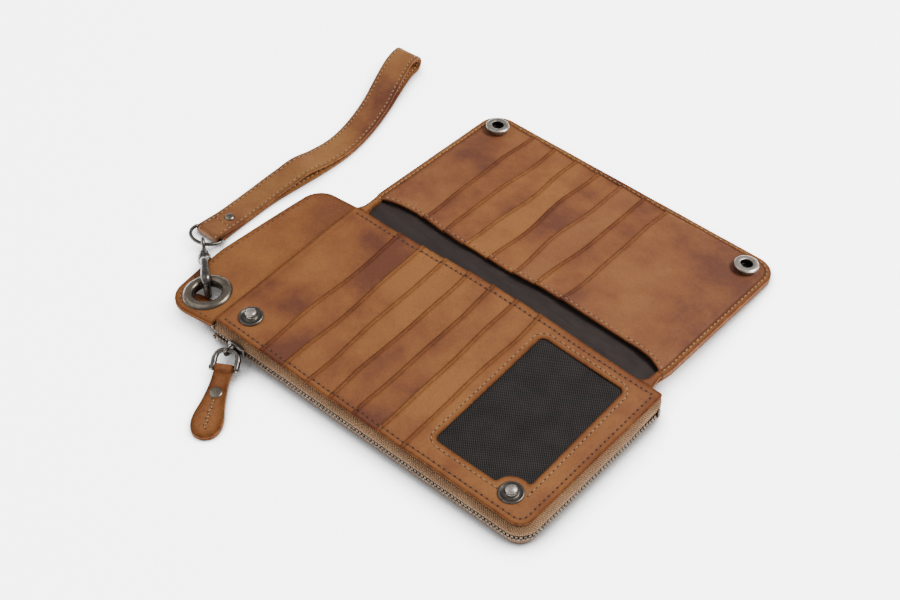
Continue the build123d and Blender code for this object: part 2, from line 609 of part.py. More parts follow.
EYE_X = 29.0
EYE_R = 2.4
EYE_WIRE_R = 0.9
with BuildPart() as clasp_swivel:
    with BuildSketch(CLASP):
        outline((BARREL_X + 1.6, BARREL_Y), (BARREL_X + 1.6, BARREL_Y + 1.93),
                (HEAD_END_X - 0.1, BARREL_Y + 1.93), (HEAD_END_X - 0.1, BARREL_Y + 0.93),
                (BARREL_END_X + 0.3, BARREL_Y + 0.93), (BARREL_END_X + 0.3, BARREL_Y + 2.2),
                (BARREL_END_X + 1.4, BARREL_Y + 2.2), (BARREL_END_X + 2.0, BARREL_Y + 1.4),
                (EYE_X - 3.8, BARREL_Y + 1.1), (EYE_X - 3.8, BARREL_Y))
    revolve(axis=barrel_axis)
    with Locations(CLASP.location):
        with Locations((EYE_X, BARREL_Y, 0)):
            Torus(EYE_R + EYE_WIRE_R, EYE_WIRE_R)
            Cylinder(EYE_R, 4.0, mode=Mode.SUBTRACT)
write(clasp_swivel.part, "clasp_swivel")

# ================= wrist strap and its ring =================
BAR_X, BAR_Y, BAR_Z = -150.6, -3.6, 2.75      # middle of the ring's straight bar
RING_WIRE_R = 1.0
RING_HALF = 9.2
RING_TILT = 14.0
RING = Plane(origin=(BAR_X, BAR_Y, BAR_Z), x_dir=(1, 0, 0),
             z_dir=(0, -sin(radians(RING_TILT)), -cos(radians(RING_TILT))))
with BuildPart() as strap_ring:
    with BuildLine(RING) as ring_path:
        bar = Line((-RING_HALF + 1.6, 0), (RING_HALF - 1.6, 0))
        CenterArc((RING_HALF - 1.6, 1.6), 1.6, -90, 90)
        CenterArc((0, 1.6), RING_HALF, 0, 180)
        CenterArc((-RING_HALF + 1.6, 1.6), 1.6, 180, 90)
    with BuildSketch(Plane(origin=bar @ 0, z_dir=bar % 0)):
        Circle(RING_WIRE_R)
    sweep(path=ring_path.wires()[0])
write(strap_ring.part, "strap_ring")

# Route of the strap over the surface, seen from above, from the ring to the far bend.
strap_route = [(BAR_X, BAR_Y), (-150.6, 15.0), (-150.0, 36.0), (-147.6, 55.0), (-145.2, 73.0),
               (-144.4, 90.0), (-146.6, 108.0), (-151.5, 127.0), (-157.5, 145.0), (-162.0, 160.0),
               (-163.2, 173.0)]
# Height of the upper ply's top face along Y.
ply_tops = [(12.0, 3.4), (32.0, 3.4), (48.0, 5.4), (61.0, 7.2), (74.0, 5.2), (90.0, 3.7), (108.0, 3.8),
            (128.0, 5.0), (148.0, 8.4), (162.0, 10.0)]
FAR_Y = 166.0
far_r = 5.0
near_r = BAR_Z - 0.02

with BuildPart() as strap_leather:
    with BuildSketch(Plane.YZ.offset(-200.0)):
        with BuildLine():
            near = CenterArc((BAR_Y, BAR_Z), near_r, 90, 180)
            Line(near @ 1, (FAR_Y, BAR_Z - near_r))
            far = ThreePointArc((FAR_Y, BAR_Z - near_r), (FAR_Y + far_r, far_r), (FAR_Y, 2 * far_r))
            Spline(near @ 0, *ply_tops, far @ 1, tangents=((1, -0.1), (1, 0)))
        make_face()
        with Locations((BAR_Y, BAR_Z)):
            Circle(RING_WIRE_R + 0.08, mode=Mode.SUBTRACT)
        with BuildLine():
            Line((36.0, STRAP_T), (FAR_Y, STRAP_T))
            ThreePointArc((FAR_Y, STRAP_T), (FAR_Y + far_r - STRAP_T, far_r), (FAR_Y, 2 * far_r - STRAP_T))
            Spline((36.0, STRAP_T), *[(y, z - STRAP_T) for y, z in ply_tops[2:]],
                   (FAR_Y, 2 * far_r - STRAP_T))
        make_face(mode=Mode.SUBTRACT)
    extrude(amount=100.0)
    with BuildSketch(Plane.XY.offset(-1.0)):
        with BuildLine():
            Spline(*strap_route, tangents=((0, 1), (0, 1)))
            Line((BAR_X, BAR_Y - 5.0), (BAR_X, BAR_Y))
        trace(line_width=STRAP_WIDTH)
    extrude(amount=14.0, mode=Mode.INTERSECT)
    with Locations((BAR_X, 10.5, 0)):
        Cylinder(1.3, 14.0, mode=Mode.SUBTRACT)
write(strap_leather.part, "strap_leather")

with BuildPart() as strap_rivet:
    with BuildSketch(upright(BAR_X, 10.5)):
        outline((0, 0.25), (1.25, 0.25), (1.25, 4.1), (2.75, 4.1), (2.5, 4.6), (1.2, 4.95), (0, 5.05))
    revolve(axis=Axis((BAR_X, 10.5, 0), (0, 0, 1)))
write(strap_rivet.part, "strap_rivet")

# ================= flap =================
# Local frame of the flap: X along the fold line, Y away from it, Z up out of the inner face.
FLAP = Plane(origin=(0, AXIS_Y, AXIS_Z), x_dir=(1, 0, 0),
             z_dir=(0, sin(radians(FLAP_SLOPE)), cos(radians(FLAP_SLOPE))))
inner_w = -(AXIS_Z - HEIGHT)
flap_base_top = inner_w - POCKET_STACK
flap_base_bottom = flap_base_top - 0.7
flap_lining_top = flap_base_bottom - 0.3
flap_leather_top = flap_lining_top - LINING - 0.01
flap_outer = flap_leather_top - LEATHER
FLAP_START = 0.4
MOUTH = 4.5               # edge of the bill pocket's mouth, from the fold line
NOTCH_S = 10.0
INSET = 2.6
SOCKET_S = AXIS_Y - STUD_Y


def flap_face(inset=0.0, start=FLAP_START):
    """Outline of the flap in its own plane."""
    far = FLAP_LENGTH - inset
    narrow = (NOTCH_S - start) / (NOTCH_S - FLAP_START)       # the sides draw in towards the fold
    outline((FLAP_LEFT + 2.5 * narrow + inset, start), (FLAP_LEFT + inset, NOTCH_S),
            (FLAP_LEFT + inset, far), (FLAP_RIGHT - inset, far),
            (FLAP_RIGHT - inset, NOTCH_S), (FLAP_RIGHT - 1.5 * narrow - inset, start))
    fillet(vertices().group_by(Axis.Y)[-1], FLAP_R - inset)


def flap_stud_holes(radius):
    with Locations(*[(x, SOCKET_S) for x in STUD_X]):
        Circle(radius, mode=Mode.SUBTRACT)


def flap_strip(left, right, points, start=MOUTH):
    """A strip of the flap between two X positions, with its section given by points."""
    side = Plane(origin=FLAP.from_local_coords((0, start, 0)), x_dir=(1, 0, 0), z_dir=-FLAP.y_dir)
    with BuildSketch(side) as section:
        outline(*points)
    extrude(section.sketch, amount=-(FLAP_LENGTH - INSET - start))
    with BuildSketch(FLAP.offset(flap_outer)) as plan:
        flap_face(inset=INSET, start=start)
    extrude(plan.sketch, amount=10.0, mode=Mode.INTERSECT)


with BuildPart() as flap_outer_leather:
    with BuildSketch(FLAP.offset(flap_outer)):
        flap_face()
        flap_stud_holes(1.65)
    extrude(amount=LEATHER)
write(flap_outer_leather.part, "flap_outer_leather")

with BuildPart() as flap_lining:
    with BuildSketch(FLAP.offset(flap_lining_top - LINING)):
        flap_face(inset=INSET)
        flap_stud_holes(1.65)
    extrude(amount=LINING)
write(flap_lining.part, "flap_lining")

with BuildPart() as flap_pocket_base:
    with BuildSketch(FLAP.offset(flap_base_bottom)):
        flap_face(inset=INSET, start=MOUTH)
        flap_stud_holes(1.65)
    extrude(amount=flap_base_top - flap_base_bottom - 0.02)
write(flap_pocket_base.part, "flap_pocket_base")

with BuildPart() as flap_edge_binding:
    with BuildSketch(FLAP.offset(flap_leather_top + 0.01)):
        flap_face(start=MOUTH)
        with BuildSketch(mode=Mode.PRIVATE) as inside:
            flap_face(inset=INSET - 0.05, start=MOUTH)
            Rectangle(2 * LENGTH, 2 * MOUTH + 0.2)
        add(inside.sketch_local, mode=Mode.SUBTRACT)
    extrude(amount=inner_w - flap_leather_top - 0.4)
write(flap_edge_binding.part, "flap_edge_binding")

flap_tail = flap_base_top + THIN_LEATHER + 0.01
with BuildPart() as flap_plain_panel_left:
    flap_strip(FLAP_LEFT, LIP_FIRST_X,
               ((FLAP_LEFT, flap_base_top), (LIP_FIRST_X + TUCK, flap_base_top),
                (LIP_FIRST_X + TUCK, flap_base_top + THIN_LEATHER),
                (LIP_FIRST_X - 8.0, flap_base_top + THIN_LEATHER + 0.3), (FLAP_LEFT, inner_w)))
    with Locations(FLAP.location):
        with Locations((STUD_X[0], SOCKET_S, inner_w)):
            Cylinder(1.65, 8.0, mode=Mode.SUBTRACT)
write(flap_plain_panel_left.part, "flap_plain_panel_left")

for pocket in range(POCKET_COUNT):
    lip_x = LIP_FIRST_X + pocket * LIP_PITCH
    tail_x = lip_x + LIP_PITCH + TUCK
    with BuildPart() as flap_card_pocket:
        flap_strip(lip_x, tail_x, ((lip_x, inner_w - THIN_LEATHER), (tail_x, flap_tail - THIN_LEATHER),
                                   (tail_x, flap_tail), (lip_x, inner_w)))
    write(flap_card_pocket.part, f"flap_card_pocket_{pocket + 1}")

with BuildPart() as flap_plain_panel_right:
    flap_strip(ID_PANEL_X, FLAP_RIGHT,
               ((ID_PANEL_X, inner_w - THIN_LEATHER), (ID_PANEL_X + TUCK + 0.3, inner_w - THIN_LEATHER),
                (ID_PANEL_X + TUCK + 0.3, flap_base_top), (FLAP_RIGHT, flap_base_top),
                (FLAP_RIGHT, inner_w), (ID_PANEL_X, inner_w)))
    with Locations(FLAP.location):
        with Locations((STUD_X[1], SOCKET_S, inner_w)):
            Cylinder(1.65, 8.0, mode=Mode.SUBTRACT)
write(flap_plain_panel_right.part, "flap_plain_panel_right")

with BuildPart() as flap_mouth_binding:
    with BuildSketch(FLAP.offset(inner_w + 0.01)):
        outline((FLAP_LEFT + 5.0, MOUTH), (FLAP_RIGHT - 4.0, MOUTH),
                (FLAP_RIGHT - 4.0, MOUTH + 5.0), (FLAP_LEFT + 5.0, MOUTH + 5.0))
    extrude(amount=0.5)
write(flap_mouth_binding.part, "flap_mouth_binding")

# ================= snap sockets and caps on the flap =================
for side, stud_x in zip(("left", "right"), STUD_X):
    centre = FLAP.from_local_coords((stud_x, SOCKET_S, 0))
    with BuildPart() as snap_socket:
        with BuildSketch(Plane(origin=centre, x_dir=(1, 0, 0), z_dir=-FLAP.y_dir)):
            outline((SOCKET_BORE_R, inner_w + 0.02), (SOCKET_R - 0.6, inner_w + 0.02),
                    (SOCKET_R, inner_w + 0.9), (SOCKET_R, inner_w + 2.0), (SOCKET_R - 0.8, inner_w + 2.9),
                    (SOCKET_R - 2.0, inner_w + SOCKET_HEIGHT), (SOCKET_BORE_R + 0.3, inner_w + SOCKET_HEIGHT),
                    (SOCKET_BORE_R, inner_w + SOCKET_HEIGHT - 0.3))
        revolve(axis=Axis(centre, FLAP.z_dir))
    write(snap_socket.part, f"snap_socket_{side}")

with BuildPart() as snap_caps:
    for stud_x in STUD_X:
        centre = FLAP.from_local_coords((stud_x, SOCKET_S, 0))
        with BuildSketch(Plane(origin=centre, x_dir=(1, 0, 0), z_dir=-FLAP.y_dir)):
            outline((0, flap_outer - 1.15), (3.0, flap_outer - 1.1), (5.4, flap_outer - 0.8),
                    (SOCKET_R, flap_outer - 0.4), (SOCKET_R, flap_outer - 0.01), (1.6, flap_outer - 0.01),
                    (1.6, inner_w + 0.01), (0, inner_w + 0.01))
        revolve(axis=Axis(centre, FLAP.z_dir))
write(snap_caps.part, "snap_caps")
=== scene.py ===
import math

import bpy
import numpy as np
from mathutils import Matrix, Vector, noise
from mathutils.geometry import delaunay_2d_cdt


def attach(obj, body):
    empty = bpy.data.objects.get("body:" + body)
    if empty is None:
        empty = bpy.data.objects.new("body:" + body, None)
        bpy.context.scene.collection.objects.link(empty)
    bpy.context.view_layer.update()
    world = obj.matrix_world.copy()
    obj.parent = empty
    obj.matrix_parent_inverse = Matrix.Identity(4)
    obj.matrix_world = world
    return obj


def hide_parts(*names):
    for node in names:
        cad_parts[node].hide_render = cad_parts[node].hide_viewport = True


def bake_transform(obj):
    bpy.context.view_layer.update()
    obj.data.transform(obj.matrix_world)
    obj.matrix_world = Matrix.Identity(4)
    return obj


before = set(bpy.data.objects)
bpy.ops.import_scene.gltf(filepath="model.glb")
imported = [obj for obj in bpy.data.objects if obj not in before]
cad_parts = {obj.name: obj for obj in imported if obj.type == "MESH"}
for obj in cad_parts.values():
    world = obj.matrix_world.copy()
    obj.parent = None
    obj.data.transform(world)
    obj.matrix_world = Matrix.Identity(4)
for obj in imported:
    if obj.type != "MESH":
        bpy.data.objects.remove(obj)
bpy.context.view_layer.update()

MM = 0.001
rng = np.random.default_rng(7)

# ------------------------------------------------------------------ sizes, in millimetres
LENGTH, WIDTH, HEIGHT, TAPER, CORNER_R, SMALL_R = 195.0, 103.7, 15.0, 1.5, 9.0, 1.5
HALF_L, HALF_W = LENGTH / 2, WIDTH / 2
LEATHER, THIN = 1.2, 0.8
LIP_FIRST, LIP_PITCH, POCKETS, TUCK = -67.0, 15.0, 6, 1.4
LIPS = [LIP_FIRST + i * LIP_PITCH for i in range(POCKETS + 1)]
STUD_X, STUD_Y = (-84.6, 78.6), -38.4
BASE_TOP, BASE_BOTTOM = 13.25, 12.3
WING_TOP, COVER_TOP = 12.25, 1.4
TAIL_TOP = BASE_TOP + THIN + 0.01
AXIS_Y, AXIS_Z, FLAP_SLOPE = 57.85, 17.2, math.radians(5.62)
FLAP_LENGTH, FLAP_LEFT, FLAP_RIGHT, FLAP_R = 108.5, -95.5, 92.0, 12.0
INNER_W = -(AXIS_Z - HEIGHT)
SOCKET_S = AXIS_Y - STUD_Y
ZIP_Z, ROW_Z = 8.25, 7.65
TAPE_LINE, TOOTH_LINE, TAPE_HALF = 52.1, 53.05, 0.33
EYELET_X, EYELET_Y, BORE_R, EYELET_R = -115.8, -38.5, 7.25, 12.75


# ------------------------------------------------------------------ geometry helpers
def mesh_object(name, verts, faces, material=None, attrs=None, smooth=True):
    """A mesh from millimetre points; attrs maps a name to one number or one 3-vector per point."""
    me = bpy.data.meshes.new(name)
    v = np.asarray(verts, float) * MM
    me.from_pydata(v.tolist(), [], [tuple(int(i) for i in f) for f in faces])
    for key, values in (attrs or {}).items():
        values = np.asarray(values, np.float32)
        if values.ndim == 1:
            me.attributes.new(key, "FLOAT", "POINT").data.foreach_set("value", values)
        else:
            me.attributes.new(key, "FLOAT_VECTOR", "POINT").data.foreach_set("vector", values.ravel())
    if smooth:
        me.shade_smooth()
    me.update()
    ob = bpy.data.objects.new(name, me)
    bpy.context.scene.collection.objects.link(ob)
    if material is not None:
        me.materials.append(material)
    return ob


def put(ob, slot, body, *nodes):
    """Hides the CAD nodes a piece stands for and puts it on the body it rides on; slot is not used."""
    if nodes:
        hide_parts(*nodes)
    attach(ob, body)
    return ob


def clean(ob):
    """Takes the worn-edge tone off a piece made by plate()."""
    ob.data.attributes["edge"].data.foreach_set("value", np.zeros(len(ob.data.vertices), np.float32))


def smooth_noise(x, y, scale, seed):
    """Soft noise of about -1 to 1 over arrays of millimetre positions."""
    x, y = np.broadcast_arrays(np.asarray(x, float), np.asarray(y, float))
    out = np.empty(x.size)
    for i, (a, b) in enumerate(zip(x.ravel(), y.ravel())):
        out[i] = noise.noise(Vector((a / scale, b / scale, seed * 7.31)))
    return out.reshape(x.shape)


def dense(points, step=1.0, closed=True):
    """Points along a polyline no further apart than step."""
    pts = [np.asarray(p, float) for p in points]
    ends = pts[1:] + ([pts[0]] if closed else [])
    out = []
    for a, b in zip(pts, ends):
        n = max(1, int(math.ceil(np.linalg.norm(b - a) / step)))
        out += [a + (b - a) * k / n for k in range(n)]
    if not closed:
        out.append(pts[-1])
    return np.array(out)


def rounded(points, radii, step=0.6):
    """A closed outline with each corner rounded by its own radius."""
    pts = [np.asarray(p, float) for p in points]
    n, out = len(pts), []
    for i, p in enumerate(pts):
        a, b, r = pts[i - 1], pts[(i + 1) % n], radii[i]
        u, v = (a - p) / np.linalg.norm(a - p), (b - p) / np.linalg.norm(b - p)
        half = math.acos(max(-1.0, min(1.0, float(u @ v)))) / 2
        if r < 0.05 or half > 1.56:
            out.append(p)
            continue
        reach = r / math.tan(half)
        centre = p + (u + v) / np.linalg.norm(u + v) * r / math.sin(half)
        s, e = p + u * reach - centre, p + v * reach - centre
        t0, t1 = math.atan2(s[1], s[0]), math.atan2(e[1], e[0])
        turn = (t1 - t0 + math.pi) % (2 * math.pi) - math.pi
        k = max(3, int(abs(turn) * r / step))
        out += [centre + r * np.array([math.cos(t0 + turn * j / k), math.sin(t0 + turn * j / k)])
            for j in range(k + 1)]
    return np.array(out)


def signed_area(loop):
    x, y = loop[:, 0], loop[:, 1]
    return float(np.sum(x * np.roll(y, -1) - np.roll(x, -1) * y) / 2)


def inward(loop, d, hole=False):
    """The loop moved into the material by d, corner points keeping their distance from both sides."""
    turn = 1.0 if signed_area(loop) > 0 else -1.0
    if hole:
        turn = -turn
    e = np.roll(loop, -1, 0) - loop
    e /= np.linalg.norm(e, axis=1, keepdims=True) + 1e-12
    nrm = np.stack([-e[:, 1], e[:, 0]], 1) * turn
    m = nrm + np.roll(nrm, 1, 0)
    m /= np.linalg.norm(m, axis=1, keepdims=True) + 1e-12
    cosine = np.clip((m * nrm).sum(1), 0.5, 1.0)
    return loop + m / cosine[:, None] * d


def inside(points, loop):
    x, y = points[:, 0][:, None], points[:, 1][:, None]
    a, b = loop, np.roll(loop, -1, 0)
    cross = (a[:, 1] > y) != (b[:, 1] > y)
    with np.errstate(divide="ignore", invalid="ignore"):
        at = (b[:, 0] - a[:, 0]) * (y - a[:, 1]) / (b[:, 1] - a[:, 1]) + a[:, 0]
    return (np.sum(cross & (x < at), 1) % 2) == 1


def distance(points, loop, closed=True):
    """Distance of each point to a polyline."""
    a = loop if closed else loop[:-1]
    b = np.roll(loop, -1, 0) if closed else loop[1:]
    d = b - a
    l2 = (d * d).sum(1) + 1e-12
    out = np.empty(len(points))
    for lo in range(0, len(points), 4000):
        p = points[lo:lo + 4000]
        t = np.clip(((p[:, None] - a) * d).sum(2) / l2, 0, 1)
        out[lo:lo + 4000] = np.sqrt(((p[:, None] - a - t[..., None] * d) ** 2).sum(2).min(1))
    return out


def plate(name, outer, holes, top, thick, r, spacing, material, place=None, extra=None, edge_width=1.0,
        bottom=None, shade_mark=None, clear=0.0):
    """A sheet with rounded edges. top(x, y) is its upper height; place maps local points to the row frame; its
    edge tone can also carry painted shade for creases and seams.
    """
    loops = [(np.asarray(outer, float), False)] + [(np.asarray(h, float), True) for h in holes]
    if clear:
        loops = [(loop[np.abs(loop[:, 1]) >= clear], hole) for loop, hole in loops]
    steps = [(r * (1 - math.cos(t)), r * (1 - math.sin(t))) for t in np.linspace(0, math.pi / 2, 6)]
    verts, faces, edge = [], [], []
    top_loops, low_loops = [], []
    base = bottom or (lambda x, y: top(x, y) - thick)
    for loop, hole in loops:
        rings = []
        for d, drop in reversed(steps):
            ring = inward(loop, d, hole)
            z = top(ring[:, 0], ring[:, 1]) - drop
            rings.append(np.column_stack([ring, z]))
        for d, drop in steps:
            ring = inward(loop, d, hole)
            z = base(ring[:, 0], ring[:, 1]) + drop
            rings.append(np.column_stack([ring, z]))
        start, n = len(verts), len(loop)
        for ring in rings:
            verts += ring.tolist()
            edge += [1.0] * n
        flip = (signed_area(loop) > 0) != hole
        for k in range(len(rings) - 1):
            for i in range(n):
                j = (i + 1) % n
                q = [start + k * n + i, start + (k + 1) * n + i, start + (k + 1) * n + j, start + k * n + j]
                faces.append(q if flip else q[::-1])
        top_loops.append((start, n))
        low_loops.append((start + (len(rings) - 1) * n, n))
    v = np.array(verts)
    shells = [v[s:s + n, :2] for s, n in top_loops]
    lo, hi = shells[0].min(0), shells[0].max(0)
    gx, gy = np.meshgrid(np.arange(lo[0], hi[0], spacing), np.arange(lo[1], hi[1], spacing))
    grid = np.column_stack([gx.ravel(), gy.ravel()])
    grid = grid + rng.uniform(-0.12, 0.12, grid.shape) * spacing
    keep = inside(grid, shells[0])
    for s in shells[1:]:
        keep &= ~inside(grid, s)
    grid = grid[keep]
    if extra is not None and len(extra):
        e = np.asarray(extra, float)
        if clear:
            e = np.vstack([e[np.abs(e[:, 1]) > clear],
                [(x, side * clear) for x in np.unique(e[:, 0]) for side in (-1, 1)]])
        ok = inside(e, shells[0])
        for s in shells[1:]:
            ok &= ~inside(e, s)
        grid = np.vstack([grid, e[ok]])
    if clear:
        grid = grid[np.abs(grid[:, 1]) > clear * 0.999]
    near = np.full(len(grid), 1e9)
    for s in shells:
        near = np.minimum(near, distance(grid, s))
    grid, near = grid[near > spacing * 0.45], near[near > spacing * 0.45]
    pts, cons, index = [], [], []
    for (s, n) in top_loops:
        first = len(pts)
        pts += [Vector(p) for p in v[s:s + n, :2]]
        index += list(range(s, s + n))
        cons += [(first + i, first + (i + 1) % n) for i in range(n)]
    ring_count = len(pts)
    pts += [Vector(p) for p in grid]
    made, _, tri, orig, _, _ = delaunay_2d_cdt(pts, cons, [], 1, 1e-5)
    tri = np.array([t for t in tri if len(t) == 3])
    xy = np.array([[p.x, p.y] for p in made])
    source = [o[0] if o else -1 for o in orig]
    mid = xy[tri].mean(1)
    ok = inside(mid, shells[0])
    for s in shells[1:]:
        ok &= ~inside(mid, s)
    tri = tri[ok]
    area = ((xy[tri[:, 1], 0] - xy[tri[:, 0], 0]) * (xy[tri[:, 2], 1] - xy[tri[:, 0], 1])
        - (xy[tri[:, 2], 0] - xy[tri[:, 0], 0]) * (xy[tri[:, 1], 1] - xy[tri[:, 0], 1]))
    tri[area < 0] = tri[area < 0][:, ::-1]
    low_index = []
    for (s, n) in low_loops:
        low_index += list(range(s, s + n))
    zt, zb = top(xy[:, 0], xy[:, 1]), base(xy[:, 0], xy[:, 1])
    shell_d = np.full(len(xy), 1e9)
    for s in shells:
        shell_d = np.minimum(shell_d, distance(xy, s))
    upper, lower = np.empty(len(xy), int), np.empty(len(xy), int)
    shade_marks = np.zeros(len(xy)) if shade_mark is None else np.asarray(shade_mark(xy[:, 0], xy[:, 1]), float)
    for i in range(len(xy)):
        o = source[i]
        if 0 <= o < ring_count:
            upper[i], lower[i] = index[o], low_index[o]
        else:
            upper[i] = len(verts)
            verts.append([xy[i, 0], xy[i, 1], zt[i]])
            # edge tone: burnished edges plus the painted shade given for creases and seams
            edge.append(min(1.0, math.exp(-((shell_d[i] + r * 0.5) / edge_width) ** 1.3) + shade_marks[i]))
            lower[i] = len(verts)
            verts.append([xy[i, 0], xy[i, 1], zb[i]])
            edge.append(0.0)
    faces += [tuple(upper[t]) for t in tri]
    faces += [tuple(lower[t][::-1]) for t in tri]
    v = np.array(verts)
    if place is not None:
        v = place(v)
    return mesh_object(name, v, faces, material, {"edge": edge})


def tube(path, radius, sides=16, closed=False, squash=1.0, up=(0, 0, 1)):
    """A swept tube; radius is one number or one per point. Returns points and faces."""
    p = np.asarray(path, float)
    n = len(p)
    tangent = np.roll(p, -1, 0) - np.roll(p, 1, 0)
    if not closed:
        tangent[0], tangent[-1] = p[1] - p[0], p[-1] - p[-2]
    tangent /= np.linalg.norm(tangent, axis=1, keepdims=True)
    ref = np.asarray(up, float)
    if abs(tangent[0] @ ref) > 0.95:
        ref = np.array([1.0, 0, 0])
    normal = ref - (ref @ tangent[0]) * tangent[0]
    normal /= np.linalg.norm(normal)
    normals = [normal]
    for i in range(1, n):
        m = normals[-1] - (normals[-1] @ tangent[i]) * tangent[i]
        normals.append(m / np.linalg.norm(m))
    normals = np.array(normals)
    side = np.cross(tangent, normals)
    rad = np.broadcast_to(np.asarray(radius, float), (n,))
    a = np.linspace(0, 2 * math.pi, sides, endpoint=False)
    ring = (rad[:, None, None] * (np.cos(a)[None, :, None] * normals[:, None] * squash
        + np.sin(a)[None, :, None] * side[:, None]))
    v = (p[:, None] + ring).reshape(-1, 3)
    f = []
    for i in range(n if closed else n - 1):
        for k in range(sides):
            a0, a1 = i * sides + k, i * sides + (k + 1) % sides
            b0, b1 = ((i + 1) % n) * sides + k, ((i + 1) % n) * sides + (k + 1) % sides
            f.append((a0, a1, b1, b0))
    if not closed:
        f.append(tuple(range(sides - 1, -1, -1)))
        f.append(tuple(range((n - 1) * sides, n * sides)))
    return v, f


def lathe(profile, sides=64, closed=True):
    """A turned solid about local Z from (radius, height) points."""
    prof = np.asarray(profile, float)
    a = np.linspace(0, 2 * math.pi, sides, endpoint=False)
    v = np.stack([prof[:, 0][:, None] * np.cos(a), prof[:, 0][:, None] * np.sin(a),
        np.repeat(prof[:, 1][:, None], sides, 1)], 2).reshape(-1, 3)
    f, n = [], len(prof)
    for i in range(n if closed else n - 1):
        j = (i + 1) % n
        for k in range(sides):
            l = (k + 1) % sides
            f.append((i * sides + k, j * sides + k, j * sides + l, i * sides + l))
    return v, f


def swept_faces(count, m, closed=False, caps=True, turn=False):
    """Faces between count sections of m points each; turn flips them."""
    faces = []
    for i in range(count if closed else count - 1):
        a, b = i * m, (i + 1) % count * m
        for k in range(m):
            l = (k + 1) % m
            quad = (a + k, b + k, b + l, a + l)
            faces.append((quad[0], quad[3], quad[2], quad[1]) if turn else quad)
    if caps and not closed:
        ends = [tuple(range(m))[::-1], tuple(range((count - 1) * m, count * m))]
        faces += [e[::-1] for e in ends] if caps == "turned" else ends
    return faces


def merge(parts):
    """Joins (points, faces) pairs."""
    verts, faces, shift = [], [], 0
    for v, f in parts:
        verts.append(np.asarray(v, float))
        faces += [tuple(i + shift for i in q) for q in f]
        shift += len(v)
    return np.vstack(verts), faces


def basis(origin, x, z):
    """A function from local points to the row frame."""
    x, z = np.asarray(x, float), np.asarray(z, float)
    x = x / np.linalg.norm(x)
    z = z / np.linalg.norm(z)
    y = np.cross(z, x)
    rot = np.column_stack([x, y, z])
    o = np.asarray(origin, float)
    return lambda v: np.asarray(v, float) @ rot.T + o


def on_flap(v):
    """Flap coordinates (X, distance from the fold, height) to the row frame."""
    v = np.asarray(v, float)
    c, s = math.cos(FLAP_SLOPE), math.sin(FLAP_SLOPE)
    return np.column_stack([v[:, 0], AXIS_Y + v[:, 1] * c + v[:, 2] * s, AXIS_Z - v[:, 1] * s + v[:, 2] * c])


# ------------------------------------------------------------------ materials
def material(name):
    m = bpy.data.materials.new(name)
    m.use_nodes = True
    nt = m.node_tree
    return m, nt, nt.nodes["Principled BSDF"]


def node(nt, kind, **values):
    n = nt.nodes.new(kind)
    for key, value in values.items():
        if key in n.inputs.keys():
            n.inputs[key].default_value = value
        else:
            setattr(n, key, value)
    return n


def object_coords(nt):
    return nt.nodes.new("ShaderNodeTexCoord").outputs["Object"]


def separate(nt, vector):
    """The X, Y and Z of a vector socket."""
    sep = nt.nodes.new("ShaderNodeSeparateXYZ")
    nt.links.new(vector, sep.inputs[0])
    return sep.outputs


def noise_node(nt, coords, scale, detail=3.0, rough=0.5, stretch=None):
    source = coords
    if stretch:
        mapping = node(nt, "ShaderNodeMapping")
        mapping.inputs["Scale"].default_value = stretch
        nt.links.new(coords, mapping.inputs["Vector"])
        source = mapping.outputs[0]
    n = node(nt, "ShaderNodeTexNoise", Scale=scale, Detail=detail, Roughness=rough)
    nt.links.new(source, n.inputs["Vector"])
    return n.outputs["Fac"]


def ramp(nt, value, stops):
    r = node(nt, "ShaderNodeValToRGB")
    els = r.color_ramp.elements
    while len(els) < len(stops):
        els.new(0.5)
    for e, (at, colour) in zip(els, stops):
        e.position = at
        e.color = (*colour, 1) if len(colour) == 3 else colour
    nt.links.new(value, r.inputs["Fac"])
    return r.outputs["Color"]


def mix(nt, fac, a, b, mode="MIX"):
    m = nt.nodes.new("ShaderNodeMix")
    m.data_type = "RGBA"
    m.blend_type = mode
    for key, value in (("Factor", fac), ("A", a), ("B", b)):
        socket = [s for s in m.inputs if s.name == key and (s.type == "VALUE" if key == "Factor"
            else s.type == "RGBA")][0]
        if isinstance(value, (int, float)):
            socket.default_value = value
        elif isinstance(value, tuple):
            socket.default_value = (*value, 1)
        else:
            nt.links.new(value, socket)
    return [s for s in m.outputs if s.type == "RGBA"][0]


def math_node(nt, op, a, b=None, clamp=False):
    m = nt.nodes.new("ShaderNodeMath")
    m.operation, m.use_clamp = op, clamp
    for i, value in enumerate((a, b)):
        if value is None:
            continue
        if isinstance(value, (int, float)):
            m.inputs[i].default_value = value
        else:
            nt.links.new(value, m.inputs[i])
    return m.outputs[0]


def add(nt, a, b):
    return math_node(nt, "ADD", a, b)


def times(nt, a, b, clamp=False):
    return math_node(nt, "MULTIPLY", a, b, clamp)


def wave(nt, value, scale):
    return math_node(nt, "SINE", times(nt, value, scale))


def map_range(nt, value, a, b, c, d):
    m = nt.nodes.new("ShaderNodeMapRange")
    nt.links.new(value, m.inputs["Value"])
    for key, v in (("From Min", a), ("From Max", b), ("To Min", c), ("To Max", d)):
        m.inputs[key].default_value = v
    return m.outputs["Result"]


def bump(nt, height, strength, dist, after=None):
    b = node(nt, "ShaderNodeBump", Strength=strength, Distance=dist)
    nt.links.new(height, b.inputs["Height"])
    if after is not None:
        nt.links.new(after, b.inputs["Normal"])
    return b.outputs["Normal"]


def attribute(nt, name, output="Fac"):
    a = nt.nodes.new("ShaderNodeAttribute")
    a.attribute_name = name
    return a.outputs[output]


